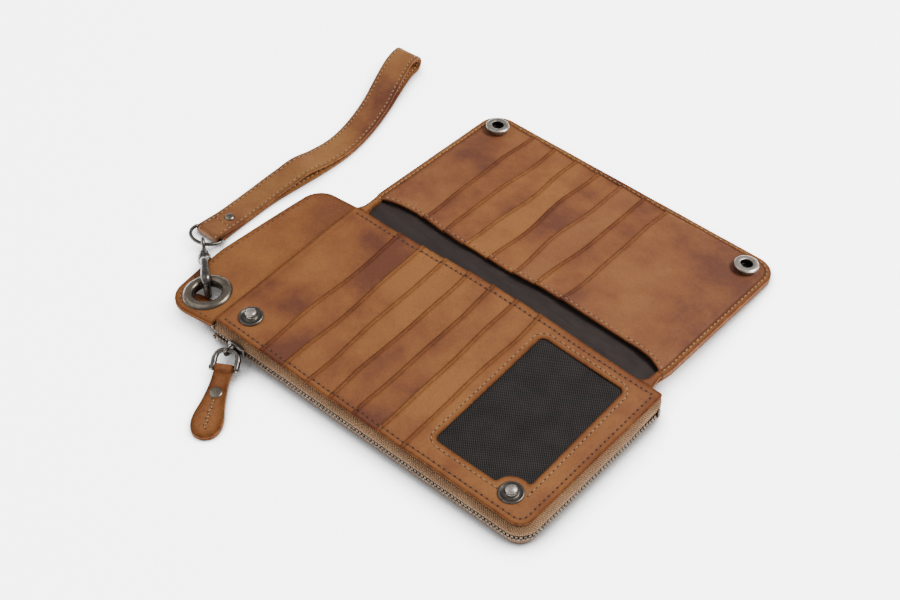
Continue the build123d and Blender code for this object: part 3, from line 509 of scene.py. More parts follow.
def leather(name, gold, mid, dark, shift=0.0, seed=0.0, grain_size=1.0):
    """Pull-up leather: mottled tone, fine grain, scuffs and burnished edges, and painted shade in creases and
    seam grooves.
    """
    m, nt, bsdf = material(name)
    coords = object_coords(nt)
    moved = node(nt, "ShaderNodeMapping")
    moved.inputs["Location"].default_value = (seed * 0.31, seed * 0.17, seed * 0.07)
    nt.links.new(coords, moved.inputs["Vector"])
    c = moved.outputs[0]
    big = noise_node(nt, c, 23, 4, 0.55)
    patch = noise_node(nt, c, 85, 5, 0.6)
    streak = noise_node(nt, c, 70, 4, 0.6, stretch=(1.0, 0.28, 1.0))
    fine = noise_node(nt, c, 900, 4, 0.65)
    tone = add(nt, times(nt, big, 0.66), times(nt, patch, 0.20))
    tone = add(nt, tone, times(nt, streak, 0.14))
    tone = add(nt, tone, shift)
    colour = ramp(nt, tone, [(0.38, dark), (0.485, mid), (0.60, gold),
        (0.74, tuple(min(1, x * 1.1) for x in gold))])
    speck = ramp(nt, fine, [(0.30, (0.70, 0.66, 0.62)), (0.52, (1, 1, 1)), (0.75, (1.10, 1.08, 1.05))])
    colour = mix(nt, min(1.0, 0.55 * grain_size), colour, speck, "MULTIPLY")
    edge = attribute(nt, "edge")
    worn = noise_node(nt, c, 420, 3, 0.6)
    # darker towards burnished, worn edges, and painted shade where the edge attribute carries crease and seam
    # shade
    edge_wear_and_shade = times(nt, edge, map_range(nt, worn, 0.3, 0.7, 0.45, 1.0), clamp=True)
    colour = mix(nt, times(nt, edge_wear_and_shade, 0.80), colour, (dark[0] * 0.42, dark[1] * 0.55, dark[2] * 0.85))
    nt.links.new(colour, bsdf.inputs["Base Color"])
    cells = node(nt, "ShaderNodeTexVoronoi", Scale=780.0)
    cells.feature = "SMOOTH_F1"
    nt.links.new(c, cells.inputs["Vector"])
    pebble = noise_node(nt, c, 1500, 3, 0.6)
    crease = noise_node(nt, c, 210, 5, 0.6)
    grain = add(nt, times(nt, cells.outputs["Distance"], 0.7), times(nt, pebble, 0.5))
    n1 = bump(nt, crease, 0.32, 0.0006 * grain_size)
    n2 = bump(nt, grain, 0.30, 0.00022 * grain_size, n1)
    nt.links.new(n2, bsdf.inputs["Normal"])
    nt.links.new(map_range(nt, patch, 0.3, 0.7, 0.66, 0.52), bsdf.inputs["Roughness"])
    nt.links.new(map_range(nt, edge, 0.0, 0.7, 0.30, 0.03), bsdf.inputs["Specular IOR Level"])
    return m


GOLD, MID, DARK = (0.252, 0.096, 0.026), (0.192, 0.064, 0.019), (0.118, 0.035, 0.015)
leather_a = leather("leather_tan", GOLD, MID, DARK, 0.03, 1)
leather_b = leather("leather_gold", GOLD, MID, DARK, 0.07, 2)
leather_c = leather("leather_red", GOLD, MID, DARK, -0.045, 3)
leather_d = leather("leather_brown", GOLD, MID, DARK, -0.01, 4)
leather_wing = leather("leather_wing", (0.262, 0.099, 0.024), (0.212, 0.073, 0.019), (0.155, 0.049, 0.016), 0.0,
    5)
leather_strap = leather("leather_strap", (0.262, 0.112, 0.033), (0.205, 0.078, 0.024), DARK, 0.03, 6)
leather_pull = leather("leather_pull", (0.260, 0.098, 0.025), (0.195, 0.066, 0.019), (0.095, 0.030, 0.012),
    0.03, 7, 2.2)
leather_flap = leather("leather_flap", (0.228, 0.087, 0.027), (0.182, 0.062, 0.021), (0.116, 0.036, 0.017), 0.0,
    9)
leather_out = leather("leather_outside", (0.245, 0.098, 0.026), (0.195, 0.072, 0.021), (0.135, 0.045, 0.016),
    0.0, 8)


def fabric(name, colour, light, scale, rough=0.85, strength=0.5, sheen=0.1):
    """Plain-woven cloth: crossed threads in the piece's own X and Y."""
    m, nt, bsdf = material(name)
    coords = object_coords(nt)
    xyz = separate(nt, coords)
    a = wave(nt, xyz["X"], scale)
    b = wave(nt, xyz["Y"], scale)
    weave = add(nt, times(nt, a, b), 1.0)
    weave = times(nt, weave, 0.5)
    blot = noise_node(nt, coords, 60, 4, 0.6)
    tone = add(nt, times(nt, weave, 0.55), times(nt, blot, 0.45))
    nt.links.new(ramp(nt, tone, [(0.25, colour), (0.75, light)]), bsdf.inputs["Base Color"])
    nt.links.new(bump(nt, weave, strength, 0.00015), bsdf.inputs["Normal"])
    bsdf.inputs["Roughness"].default_value = rough
    bsdf.inputs["Sheen Weight"].default_value = sheen
    return m


lining_mat = fabric("lining", (0.010, 0.0065, 0.0055), (0.034, 0.022, 0.019), 14000.0, 0.62, 0.35, 0.03)
lining_mat.node_tree.nodes["Principled BSDF"].inputs["Specular IOR Level"].default_value = 0.25


def net(name):
    """Fine dark net: round holes between raised threads."""
    m, nt, bsdf = material(name)
    coords = object_coords(nt)
    xyz = separate(nt, coords)
    k = 2 * math.pi / 0.00135
    a = wave(nt, xyz["X"], k)
    b = wave(nt, xyz["Y"], k)
    cell = times(nt, a, b)
    blot = noise_node(nt, coords, 90, 4, 0.6)
    tone = add(nt, times(nt, cell, 0.50), times(nt, blot, 0.6))
    nt.links.new(ramp(nt, tone, [(0.10, (0.003, 0.0026, 0.0026)), (0.72, (0.037, 0.030, 0.028))]),
        bsdf.inputs["Base Color"])
    nt.links.new(bump(nt, cell, 0.6, 0.0002), bsdf.inputs["Normal"])
    bsdf.inputs["Roughness"].default_value = 0.6
    bsdf.inputs["Specular IOR Level"].default_value = 0.18
    return m


net_mat = net("net")


def tape_material():
    m, nt, bsdf = material("zip_tape")
    v = attribute(nt, "weave", "Vector")
    xyz = separate(nt, v)
    slant = add(nt, xyz["X"], xyz["Y"])
    rib = wave(nt, slant, 2 * math.pi / 1.15)
    warp = wave(nt, xyz["X"], 2 * math.pi / 0.75)
    weave = add(nt, times(nt, rib, 0.55), times(nt, warp, 0.30))
    coords = object_coords(nt)
    blot = noise_node(nt, coords, 70, 4, 0.6)
    fuzz = noise_node(nt, coords, 1800, 2, 0.6)
    tone = add(nt, times(nt, weave, 0.25), add(nt, times(nt, blot, 0.5), times(nt, fuzz, 0.35)))
    cloth = ramp(nt, tone, [(0.18, (0.095, 0.048, 0.023)), (0.70, (0.270, 0.150, 0.074))])
    # painted shade: the tape is darker the nearer it lies to the floor
    painted_floor_shade = map_range(nt, xyz["Y"], 3.0, 12.0, 0.45, 1.0)
    nt.links.new(mix(nt, 1.0, cloth, painted_floor_shade, "MULTIPLY"), bsdf.inputs["Base Color"])
    nt.links.new(bump(nt, weave, 0.8, 0.0003), bsdf.inputs["Normal"])
    bsdf.inputs["Roughness"].default_value = 0.9
    bsdf.inputs["Sheen Weight"].default_value = 0.04
    bsdf.inputs["Specular IOR Level"].default_value = 0.2
    return m


tape_mat = tape_material()


def metal(name, dark, light, rough=0.34, wear=0.55, grain=260.0):
    """Antique plated metal: dark patina, brighter where it's rubbed; the edge attribute paints it darker, as
    painted shade in holes and under pieces and on some rims and bases.
    """
    m, nt, bsdf = material(name)
    coords = object_coords(nt)
    blot = noise_node(nt, coords, grain, 5, 0.65)
    fine = noise_node(nt, coords, grain * 9, 3, 0.6)
    tone = add(nt, times(nt, blot, 0.72), times(nt, fine, 0.28))
    lit = ramp(nt, tone, [(0.36, dark), (wear, light), (0.8, tuple(min(1, x * 1.25) for x in light))])
    # the edge attribute darkens the colour: painted shade in holes, bores and under pieces, and darker rims and
    # stud bases
    nt.links.new(mix(nt, times(nt, attribute(nt, "edge"), 0.85), lit, tuple(x * 0.25 for x in dark)),
        bsdf.inputs["Base Color"])
    nt.links.new(map_range(nt, tone, 0.3, 0.7, rough + 0.14, rough - 0.06), bsdf.inputs["Roughness"])
    nt.links.new(bump(nt, tone, 0.12, 0.00008), bsdf.inputs["Normal"])
    bsdf.inputs["Metallic"].default_value = 1.0
    return m


antique = metal("antique_brass", (0.115, 0.094, 0.074), (0.235, 0.198, 0.158), 0.27)
gunmetal = metal("gunmetal", (0.060, 0.054, 0.050), (0.165, 0.148, 0.134), 0.26, 0.60)
pewter = metal("pewter", (0.20, 0.178, 0.157), (0.48, 0.43, 0.38), 0.36)
tooth_mat = metal("zip_teeth", (0.035, 0.027, 0.021), (0.135, 0.102, 0.072), 0.42, 0.60, 500.0)


def thread_material(name, colour, light):
    m, nt, bsdf = material(name)
    v = attribute(nt, "twist")
    ply = wave(nt, v, 2 * math.pi)
    coords = object_coords(nt)
    blot = noise_node(nt, coords, 900, 3, 0.6)
    nt.links.new(ramp(nt, add(nt, times(nt, ply, 0.2), blot), [(0.3, colour), (0.75, light)]),
        bsdf.inputs["Base Color"])
    nt.links.new(bump(nt, ply, 0.6, 0.0001), bsdf.inputs["Normal"])
    bsdf.inputs["Roughness"].default_value = 0.7
    return m


thread_tan = thread_material("thread_tan", (0.25, 0.130, 0.052), (0.46, 0.29, 0.145))
thread_red = thread_material("thread_red", (0.150, 0.054, 0.021), (0.27, 0.108, 0.041))
# needle holes are dark caps: painted shade for the inside of each hole
needle_hole_shade_mat, _, hole_bsdf = material("needle_hole_shade")
hole_bsdf.inputs["Base Color"].default_value = (0.030, 0.011, 0.006, 1)
hole_bsdf.inputs["Roughness"].default_value = 0.9


# ------------------------------------------------------------------ stitches
STITCH_POINTS, STITCH_SIDES, TWIST = 7, 7, 0.9


def stitch_row(path, height, pitch=3.3, length=2.0, radius=0.32, lift=0.05, closed=False, phase=0.5, skip=None,
        hole=1.0):
    """Threads and needle holes along an XY path. height(x, y) is the leather's surface."""
    pts = np.asarray(path, float)
    if closed:
        pts = np.vstack([pts, pts[:1]])
    seg = np.linalg.norm(np.diff(pts, axis=0), axis=1)
    run = np.concatenate([[0], np.cumsum(seg)])
    total = run[-1]
    count = max(1, int(total / pitch))
    pitch = total / count
    threads, holes, twist = [], [], []
    k = STITCH_POINTS
    for i in range(count):
        mid_s = (i + phase) * pitch
        s = mid_s + np.linspace(-length / 2, length / 2, k)
        s = np.clip(s, 0, total)
        x, y = np.interp(s, run, pts[:, 0]), np.interp(s, run, pts[:, 1])
        if skip is not None and skip(x[k // 2], y[k // 2]):
            continue
        x = x + rng.normal(0, 0.05)
        y = y + rng.normal(0, 0.05)
        z = height(x, y)
        t = np.linspace(-1, 1, k)
        z = z + lift - 0.42 * np.abs(t) ** 3
        radii = radius * (1 - 0.35 * np.abs(t) ** 3)
        v, f = tube(np.column_stack([x, y, z]), radii, STITCH_SIDES)
        threads.append((v, f))
        ang = np.tile(np.linspace(0, 1, STITCH_SIDES, endpoint=False), k)
        twist.append(ang + np.repeat(s - s[0], STITCH_SIDES) * TWIST)
        for end in (0, -1):
            dx, dy = x[-1] - x[0], y[-1] - y[0]
            n = math.hypot(dx, dy) + 1e-9
            sign = -1 if end == 0 else 1
            cx, cy = x[end] + sign * dx / n * 0.22, y[end] + sign * dy / n * 0.22
            cz = float(height(np.array([cx]), np.array([cy]))[0]) + (0.05 if hole > 1 else 0.0)
            hv, hf = hole_template
            holes.append((hv * [hole, hole, 1] + np.array([cx, cy, cz]), hf))
    return threads, holes, twist


def hole_shape():
    """A small dark dimple cap, painted shade for the inside of a needle hole, a touch proud of the leather so
    that it shows.
    """
    v, f = [[0, 0, 0.045]], []
    for r, z in ((0.26, 0.045), (0.44, 0.025), (0.52, -0.05)):
        for k in range(8):
            a = 2 * math.pi * k / 8
            v.append([r * math.cos(a), r * math.sin(a), z])
    for k in range(8):
        f.append((0, 1 + k, 1 + (k + 1) % 8))
        for ring in range(2):
            a, b = 1 + ring * 8 + k, 1 + ring * 8 + (k + 1) % 8
            f.append((a, a + 8, b + 8, b))
    return np.array(v), f


hole_template = hole_shape()


def sew(name, rows, thread, body, place=None, slot="leather_main"):
    """Turns stitch rows into a thread mesh and a hole mesh on one body."""
    threads = [t for row in rows for t in row[0]]
    holes = [h for row in rows for h in row[1]]
    twist = np.concatenate([t for row in rows for t in row[2]])
    v, f = merge(threads)
    ob = mesh_object(name + "_thread", place(v) if place else v, f, thread, {"twist": twist})
    v, f = merge(holes)
    hb = mesh_object(name + "_holes", place(v) if place else v, f, needle_hole_shade_mat)
    put(ob, slot, body)
    put(hb, slot, body)


# ------------------------------------------------------------------ front panel
def panel_outline(inset=0.0, left=-HALF_L):
    return rounded([(left + inset, -HALF_W + inset), (HALF_L - TAPER - inset, -HALF_W + inset),
                    (HALF_L + TAPER - inset, HALF_W - inset), (left + inset, HALF_W - inset)],
                   [SMALL_R, CORNER_R - inset, SMALL_R, SMALL_R])


PANEL = dense(panel_outline(), 1.0)
CREST_AT, GROOVE_AT = 0.85, 1.9
PLAIN_X = [-HALF_L, -82, -74, -67, -60]
PLAIN_Z = [HEIGHT - 0.1, HEIGHT - 0.35, BASE_TOP + THIN + 0.3, BASE_TOP + THIN + 0.05, BASE_TOP + THIN]


def lip_x(i, y):
    """The wavy lip of pocket i; pressed straight where the seams hold it."""
    y = np.asarray(y, float)
    hold = np.clip((HALF_W - np.abs(y)) / 22.0, 0, 1)
    sway = 0.55 * np.sin(y / 21.0 + i * 1.9) + 0.35 * np.sin(y / 9.5 + i * 2.7)
    return LIPS[i] + sway * hold - 0.5 * np.clip((y - 30) / 20, 0, 1) ** 2


def lie(x, y):
    """How the whole front panel lies: gently uneven, with a groove along its seam."""
    p = np.column_stack([np.ravel(x), np.ravel(y)]).astype(float)
    d = distance(p, PANEL)
    z = -0.16 * np.exp(-((d - 3.6) / 1.1) ** 2) - 0.10 * np.exp(-(d / 0.9) ** 2)
    z = z + 0.10 * np.sin(p[:, 0] / 23.0 + 1.0) * np.cos(p[:, 1] / 31.0)
    z = z + 0.05 * np.sin(p[:, 0] / 7.0 + p[:, 1] / 11.0)
    return (z - 0.12).reshape(np.shape(x))


def bowed(v):
    """The front panel's back edge bellies out and up in its middle; its zipped edges are drawn in."""
    v = np.array(v, float)
    arch = 0.5 + 0.5 * np.cos(math.pi * np.clip((v[:, 0] - 4.0) / 84.0, -1, 1))
    far = np.clip((v[:, 1] - 6.0) / 46.0, 0, 1.1) ** 1.6
    v[:, 1] += 2.5 * arch * far + 0.95 * np.clip((-44.0 - v[:, 1]) / 7.0, 0, 1)
    v[:, 0] -= 0.95 * np.clip((v[:, 0] - 88.5) / 7.0, 0, 1)
    v[:, 2] += 0.9 * arch * far * np.clip((v[:, 2] - BASE_BOTTOM) / 1.5, 0, 1)
    return v


def lip_relief(rise):
    """A raised crest just behind a lip, then the groove it's creased along."""
    crest, groove = 0.16, 0.22
    return crest * np.exp(-((rise - CREST_AT) / 0.5) ** 2) - groove * np.exp(-((rise - GROOVE_AT) / 0.45) ** 2)


def strip_height(x, y, i, lip_at, full):
    """Height of strip i before the panel's own unevenness; full is the height of a lip."""
    x, y = np.asarray(x, float), np.asarray(y, float)
    if i < 0:
        return full - HEIGHT + np.interp(x, PLAIN_X, PLAIN_Z) + lip_relief(np.full(x.shape, 9.0))
    rise = x - lip_at(i, y)
    along = 0.0 if i == POCKETS else np.clip(rise / LIP_PITCH, 0, 1.2)
    return full - (HEIGHT - TAIL_TOP) * along + lip_relief(rise)


def highest(x, y, lip_at, top_of):
    """Height of the strip that lies on top at each point."""
    x, y = np.atleast_1d(x).astype(float), np.atleast_1d(y).astype(float)
    z = np.full(x.shape, -1e9)
    for i in range(-1, POCKETS + 1):
        left = np.full(x.shape, -1e9) if i < 0 else lip_at(i, y)
        z = np.where(x >= left, top_of(i)(x, y), z)
    return z


def strip_top(i):
    """Top height of strip i; -1 is the plain strip before the first lip."""
    left = -HALF_L if i < 0 else LIPS[i]

    def top(x, y):
        return strip_height(x, y, i, lip_x, HEIGHT) + lie(x, y)
    return top


def strip_outline(left, right, low, high, step=0.8):
    """A four-sided outline between two wavy sides; left and right map Y to X."""
    ys = np.arange(low, high + step / 2, step)
    ys = np.linspace(low, high, len(ys))
    l = np.column_stack([left(ys), ys])
    r = np.column_stack([right(ys), ys])
    bottom = dense([l[0], r[0]], step, closed=False)[1:-1]
    topside = dense([r[-1], l[-1]], step, closed=False)[1:-1]
    return np.vstack([l[::-1], bottom, r, topside])


LIP_ROWS = (0.45, 0.9, 1.35, 1.75, 2.15, 2.7)


def lip_points(i):
    """Extra points that carry the creased lip of front strip i."""
    y = np.arange(-HALF_W + 1.0, HALF_W - 0.5, 1.1)
    return np.vstack([np.column_stack([lip_x(i, y) + d, y]) for d in LIP_ROWS])


def crease(rise):
    """Painted shade in the crease next to a lip and along the lip's own edge."""
    return 0.62 * np.exp(-((rise - GROOVE_AT) / 0.5) ** 2) + 0.80 * np.exp(-(rise / 0.40) ** 2)


# Painted shade along the groove that the front panel's seam is sunk in.
def seam_groove_shade(x, y):
    d = distance(np.column_stack([x, y]), PANEL)
    return 0.20 * np.exp(-((d - 3.5) / 0.9) ** 2)


TONES = [leather_c, leather_b, leather_a, leather_d, leather_c, leather_a]
# the plain strip gets painted shade along the seam's groove
ob = plate("front_plain_panel_skin", strip_outline(lambda y: np.full(len(y), -HALF_L)
    + 1.2 * np.clip((np.abs(y) - HALF_W + 1.2) / 1.2, 0, 1) ** 2, lambda y: lip_x(0, y) + TUCK, -HALF_W,
    HALF_W), [], strip_top(-1), THIN, 0.32, 1.0, leather_a, place=bowed, shade_mark=seam_groove_shade)
put(ob, "leather_front", "body", "front_plain_panel")
# each pocket strip gets painted shade at its lip's crease and along the seam's groove
for i in range(POCKETS):
    ob = plate(f"front_pocket_skin_{i + 1}",
        strip_outline(lambda y: lip_x(i, y), lambda y: lip_x(i + 1, y) + TUCK, -HALF_W, HALF_W), [],
        strip_top(i), THIN - 0.02, 0.30, 0.9, TONES[i], place=bowed, edge_width=0.95, extra=lip_points(i),
        shade_mark=lambda x, y, i=i: crease(x - lip_x(i, y)) + seam_groove_shade(x, y))
    put(ob, "leather_pocket", "body", f"front_card_pocket_{i + 1}")

WINDOW_X, WINDOW_Y, WINDOW_R, WINDOW_STUD_R = (32.5, 82.5), (-37.5, 42.0), 3.2, 9.5


def window_outline(grow=0.0):
    """The window, drawn outwards by grow; it bows inwards round the right-hand stud."""
    x0, x1, y0, y1 = WINDOW_X[0] - grow, WINDOW_X[1] + grow, WINDOW_Y[0] - grow, WINDOW_Y[1] + grow
    r = WINDOW_STUD_R - grow
    cx, cy = STUD_X[1], STUD_Y
    a = math.asin(max(-1, min(1, (y0 - cy) / r)))
    b = math.acos(max(-1, min(1, (x1 - cx) / r)))
    start, end = math.pi - a, b
    arc = [(cx + r * math.cos(t), cy + r * math.sin(t)) for t in np.linspace(start, end, 22)]
    pts = [(x0, y0)] + arc + [(x1, y1), (x0, y1)]
    radii = [WINDOW_R + grow] + [1.2] + [0] * 20 + [1.2] + [WINDOW_R + grow, WINDOW_R + grow]
    return rounded(pts, radii)


def id_outline():
    right = [p for p in panel_outline() if p[0] > 40]
    ys = np.linspace(HALF_W, -HALF_W, 130)
    left = np.column_stack([lip_x(POCKETS, ys), ys])
    low = [p for p in right if p[1] < 0]
    high = [p for p in right if p[1] > 0]
    return dense(list(left) + low + high, 1.0)


WINDOW = dense(window_outline(), 0.8)


def id_top(x, y):
    z = strip_top(POCKETS)(x, y)
    d = distance(np.column_stack([np.ravel(x), np.ravel(y)]), WINDOW).reshape(np.shape(x))
    return z - 0.14 * np.exp(-((d - 3.0) / 0.7) ** 2) - 0.12 * np.exp(-(d / 0.7) ** 2)


# the ID panel gets painted shade at its lip's crease and along the seam's groove
ob = plate("front_id_skin", id_outline(), [WINDOW[::-1]], id_top, THIN, 0.33, 0.9, leather_a, place=bowed,
    edge_width=0.95, extra=lip_points(POCKETS),
    shade_mark=lambda x, y: crease(x - lip_x(POCKETS, y)) + seam_groove_shade(x, y))
put(ob, "leather_front", "body", "front_id_panel")

# base panel and the thickness under the wide pocket
ob = plate("front_base_skin", dense(panel_outline(0.15), 1.5), [],
    lambda x, y: np.full(np.shape(x), BASE_TOP - 0.1), 0.92, 0.25, 4.0, leather_out, place=bowed)
put(ob, "leather_front", "body", "front_base_panel")

# net of the window
net_loop = dense(window_outline(2.0), 1.5)
ob = plate("window_net", net_loop, [], lambda x, y: 14.02
    + 0.10 * np.sin(np.asarray(x) / 9.0) * np.cos(np.asarray(y) / 12.0), 0.25, 0.08, 2.2, net_mat, place=bowed)
put(ob, "mesh", "body", "id_window_mesh")

# seams of the front panel
seam = dense(panel_outline(3.6), 0.8)


def front_height(x, y):
    return highest(x, y, lip_x, strip_top)


def opened(points):
    """A run of points that starts after its widest gap."""
    gap = np.linalg.norm(points - np.roll(points, 1, 0), axis=1)
    return np.roll(points, -int(np.argmax(gap)), 0)


seam = opened(seam[seam[:, 0] > -HALF_L + 4.2])
rows_front = [stitch_row(seam, front_height, 3.1, 2.5, 0.24, 0.06, hole=1.3)]
sew("front_seam", rows_front, thread_red, "body", place=bowed, slot="leather_front")
window_seam = dense(rounded([(WINDOW_X[0] - 3, WINDOW_Y[0] - 3), (WINDOW_X[1] + 3, WINDOW_Y[0] - 3),
    (WINDOW_X[1] + 3, WINDOW_Y[1] + 3), (WINDOW_X[0] - 3, WINDOW_Y[1] + 3)], [7.0] * 4), 0.6)
near_stud = lambda x, y: math.hypot(x - STUD_X[1], y - STUD_Y) < 7.6 or (x > 79 and y < -34)
sew("window_seam", [stitch_row(window_seam, lambda x, y: id_top(np.atleast_1d(x), np.atleast_1d(y)), 3.1, 2.2,
    0.30, 0.08, closed=True, skip=near_stud)], thread_tan, "body", place=bowed, slot="leather_front")

# ------------------------------------------------------------------ back cover, tongue, wing
def flat_piece(name, nodes, outer, top, thick, r, spacing, mat, slot, body="body", holes=(), place=None,
        edge_width=1.0):
    ob = plate(name, outer, list(holes), top, thick, r, spacing, mat, place=place, edge_width=edge_width)
    return put(ob, slot, body, *nodes)


level = lambda z: (lambda x, y: np.full(np.shape(x), float(z)))
flat_piece("back_cover_skin", ["back_cover"], dense(panel_outline(0.75), 1.5), level(COVER_TOP), COVER_TOP, 0.5,
    4.0, leather_out, "leather_main")
flat_piece("back_lining_skin", ["back_lining"], dense(panel_outline(3.0), 2.0), level(COVER_TOP + 0.37), 0.33,
    0.05, 6.0, lining_mat, "lining")
flat_piece("front_lining_skin", ["front_lining"],
    dense([(-88.8, -47.6), (92.0, -47.6), (92.0, 48.3), (-88.8, 48.3)], 2.0), level(BASE_BOTTOM - 0.05), 0.33,
    0.05, 6.0, lining_mat, "lining", holes=[dense([(x + 4.8 * math.cos(a), STUD_Y + 4.8 * math.sin(a))
    for a in np.linspace(0, -2 * math.pi, 24, endpoint=False)], 2.0) for x in STUD_X])
flat_piece("tongue_skin", ["zip_end_tongue"],
    dense(rounded([(-97.6, -32.0), (-128.0, -36.8), (-128.0, -47.0), (-97.6, -47.5)], [0.3, 4.6, 4.6, 0.3]),
    0.8), lambda x, y: 1.15 + 0.05 * np.sin(np.asarray(x) / 4.0), 1.15, 0.4, 1.2, leather_wing, "leather_main")

DROOP = math.radians(6.0)
WING_CORNER = (-130.4, EYELET_Y - 16.5 + 1.6)
WING = dense(rounded([(-97.4, -53.0), (EYELET_X, EYELET_Y - 15.8), WING_CORNER, (-133.6, -12.0), (-125.5, 53.4),
    (-97.4, 53.4)], [0.3, 6.0, 13.5, 40.0, 12.0, 0.3]), 0.8)
BORE = np.array([(EYELET_X + 8.1 * math.cos(a), EYELET_Y + 8.1 * math.sin(a))
    for a in np.linspace(0, -2 * math.pi, 60, endpoint=False)])


def wing_height(offset):
    def top(x, y):
        x, y = np.asarray(x, float), np.asarray(y, float)
        z = WING_TOP + offset + np.minimum(x + HALF_L, 0) * math.tan(DROOP)
        z = (z + 0.22 * np.sin(y / 15.0) * np.clip((-x - 99) / 20, 0, 1)
            * np.clip((np.hypot(x - EYELET_X, y - EYELET_Y) - 14) / 10, 0, 1))
        d = distance(np.column_stack([x.ravel(), y.ravel()]), WING).reshape(x.shape)
        return z - 0.13 * np.exp(-((d - 2.8) / 0.7) ** 2) - 0.10 * np.exp(-(d / 0.9) ** 2)
    return top


flat_piece("wing_upper_skin", ["wing_upper_ply"], WING, wing_height(0.0), 1.18, 0.42, 1.0, leather_wing,
    "leather_main", holes=[BORE], edge_width=1.4)
flat_piece("wing_lower_skin", ["wing_lower_ply"], WING, wing_height(-1.21), 1.18, 0.42, 2.2, leather_out,
    "leather_main", holes=[BORE])
wing_seam = inward(WING, 2.8)
wing_seam = wing_seam[wing_seam[:, 0] < -100.8]
wing_seam = opened(wing_seam)
wing_top_at = lambda x, y: wing_height(0.0)(np.atleast_1d(x), np.atleast_1d(y))
clear_eyelet = lambda x, y: math.hypot(x - EYELET_X, y - EYELET_Y) < EYELET_R + 0.6 or y > 44.5
sew("wing_seam", [stitch_row(wing_seam, wing_top_at, 3.3, 2.4, 0.25, -0.03, skip=clear_eyelet)], thread_red,
    "body")
gusset = np.array([(-97.15, -50.0), (-96.25, -50.0), (-96.25, 50.0), (-97.15, 50.0)])
flat_piece("gusset_skin", ["left_gusset"], dense(rounded(gusset, [0.3] * 4, 0.2), 3.0), level(9.8), 8.35, 0.1,
    3.0, leather_out, "leather_main")
flat_piece("id_backing_skin", ["id_backing"],
    dense(rounded([(24.8, -51.4), (95.4, -51.4), (98.4, 51.4), (24.8, 51.4)], [0.5, 9, 1.5, 0.5]), 2.0),
    level(14.05), 0.75, 0.15, 3.0, leather_d, "leather_front", holes=[dense(window_outline(1.2), 1.5)[::-1]],
    place=bowed)

# ------------------------------------------------------------------ zip
def zip_line(line_y, back=HALF_W - 5.0, step=0.5):
    """Middle line of the zip seen from above, left end to right end."""
    more = line_y - HALF_W
    corner = HALF_L - TAPER + more
    end = corner + 2 * TAPER * (back + HALF_W) / WIDTH
    pts = rounded([(-HALF_L + 1.2, -line_y), (corner, -line_y), (end, back), (-HALF_L + 1.2, back)],
        [0, CORNER_R + more, 0, 0], 0.5)
    n = int(np.argmax([abs(p[0] - end) + abs(p[1] - back) < 1e-6 for p in pts]))
    return dense(pts[:n + 1], step, closed=False)


def along_path(path):
    seg = np.linalg.norm(np.diff(path, axis=0), axis=1)
    return np.concatenate([[0], np.cumsum(seg)])


def side_normals(path):
    t = np.gradient(path, axis=0)
    t /= np.linalg.norm(t, axis=1, keepdims=True)
    return np.column_stack([t[:, 1], -t[:, 0]])


def tape_strip(name, node_name, teeth, far, bulge, lean):
    """A woven tape from the teeth's line to the leather's edge.

    It bulges outwards by bulge, leans in by lean at the leather, and has a rolled cord next to the teeth.
    """
    path = zip_line(TAPE_LINE, back=HALF_W - 0.9)
    run, nrm = along_path(path), side_normals(path)
    fade = np.clip((run[-1] - run) / 26.0, 0.25, 1.0)
    section = []
    for k in np.linspace(0, 1, 19):
        out = TAPE_HALF + bulge * math.sin(math.pi * k ** 0.8) ** 0.8 - lean * k ** 2.2
        section.append((k, out + 0.30 * math.exp(-((k - 0.07) / 0.055) ** 2)))
    section += [(k, -TAPE_HALF - lean * k ** 2.2) for k in (0.98, 0.75, 0.5, 0.02)]
    if far < teeth:
        section.reverse()
    verts, weave = [], []
    for i, p in enumerate(path):
        p = p - nrm[i] * 1.7 * np.clip(1 - (run[-1] - run[i]) / 4.2, 0, 1) ** 1.5
        for k, out in section:
            z = teeth + (far - teeth) * k
            o = (TAPE_HALF * np.sign(out) + (out - TAPE_HALF * np.sign(out))
                * (fade[i] if out > TAPE_HALF else 1.0))
            verts.append((*(p + nrm[i] * o), z))
            # weave holds the run along the zip and the height; the height also drives the tape's painted shade
            weave.append((run[i], z, 0))
    faces = swept_faces(len(path), len(section))
    ob = mesh_object(name, verts, faces, tape_mat, {"weave": np.array(weave)})
    put(ob, "tape", "body", node_name)


tape_strip("zip_tape_upper_skin", "zip_tape_upper", ROW_Z + 1.05, 13.35, 1.15, 2.1)
tape_strip("zip_tape_lower_skin", "zip_tape_lower", ROW_Z - 1.05, COVER_TOP - 0.1, 0.85, 1.5)

SLIDER_X, TOOTH_PITCH = -79.5, 2.0
PARTED_X = SLIDER_X - 4.0


def tooth_shape():
    """One moulded tooth, X along the zip, Y outwards, Z towards its tape; rounded, with a waist."""
    w, d = 0.70, 0.60
    sect = rounded([(-w, -d), (w, -d), (w, d), (-w, d)], [0.16, 0.30, 0.30, 0.16][::-1], 0.12)
    rings = [(0.0, 0.70), (0.10, 0.92), (0.35, 1.0), (0.62, 0.84), (0.85, 0.88), (1.2, 1.0), (1.42, 0.92),
        (1.52, 0.70)]
    v = [(x * s, y * s, z) for z, s in rings for x, y in sect]
    return np.array(v), swept_faces(len(rings), len(sect), turn=True)


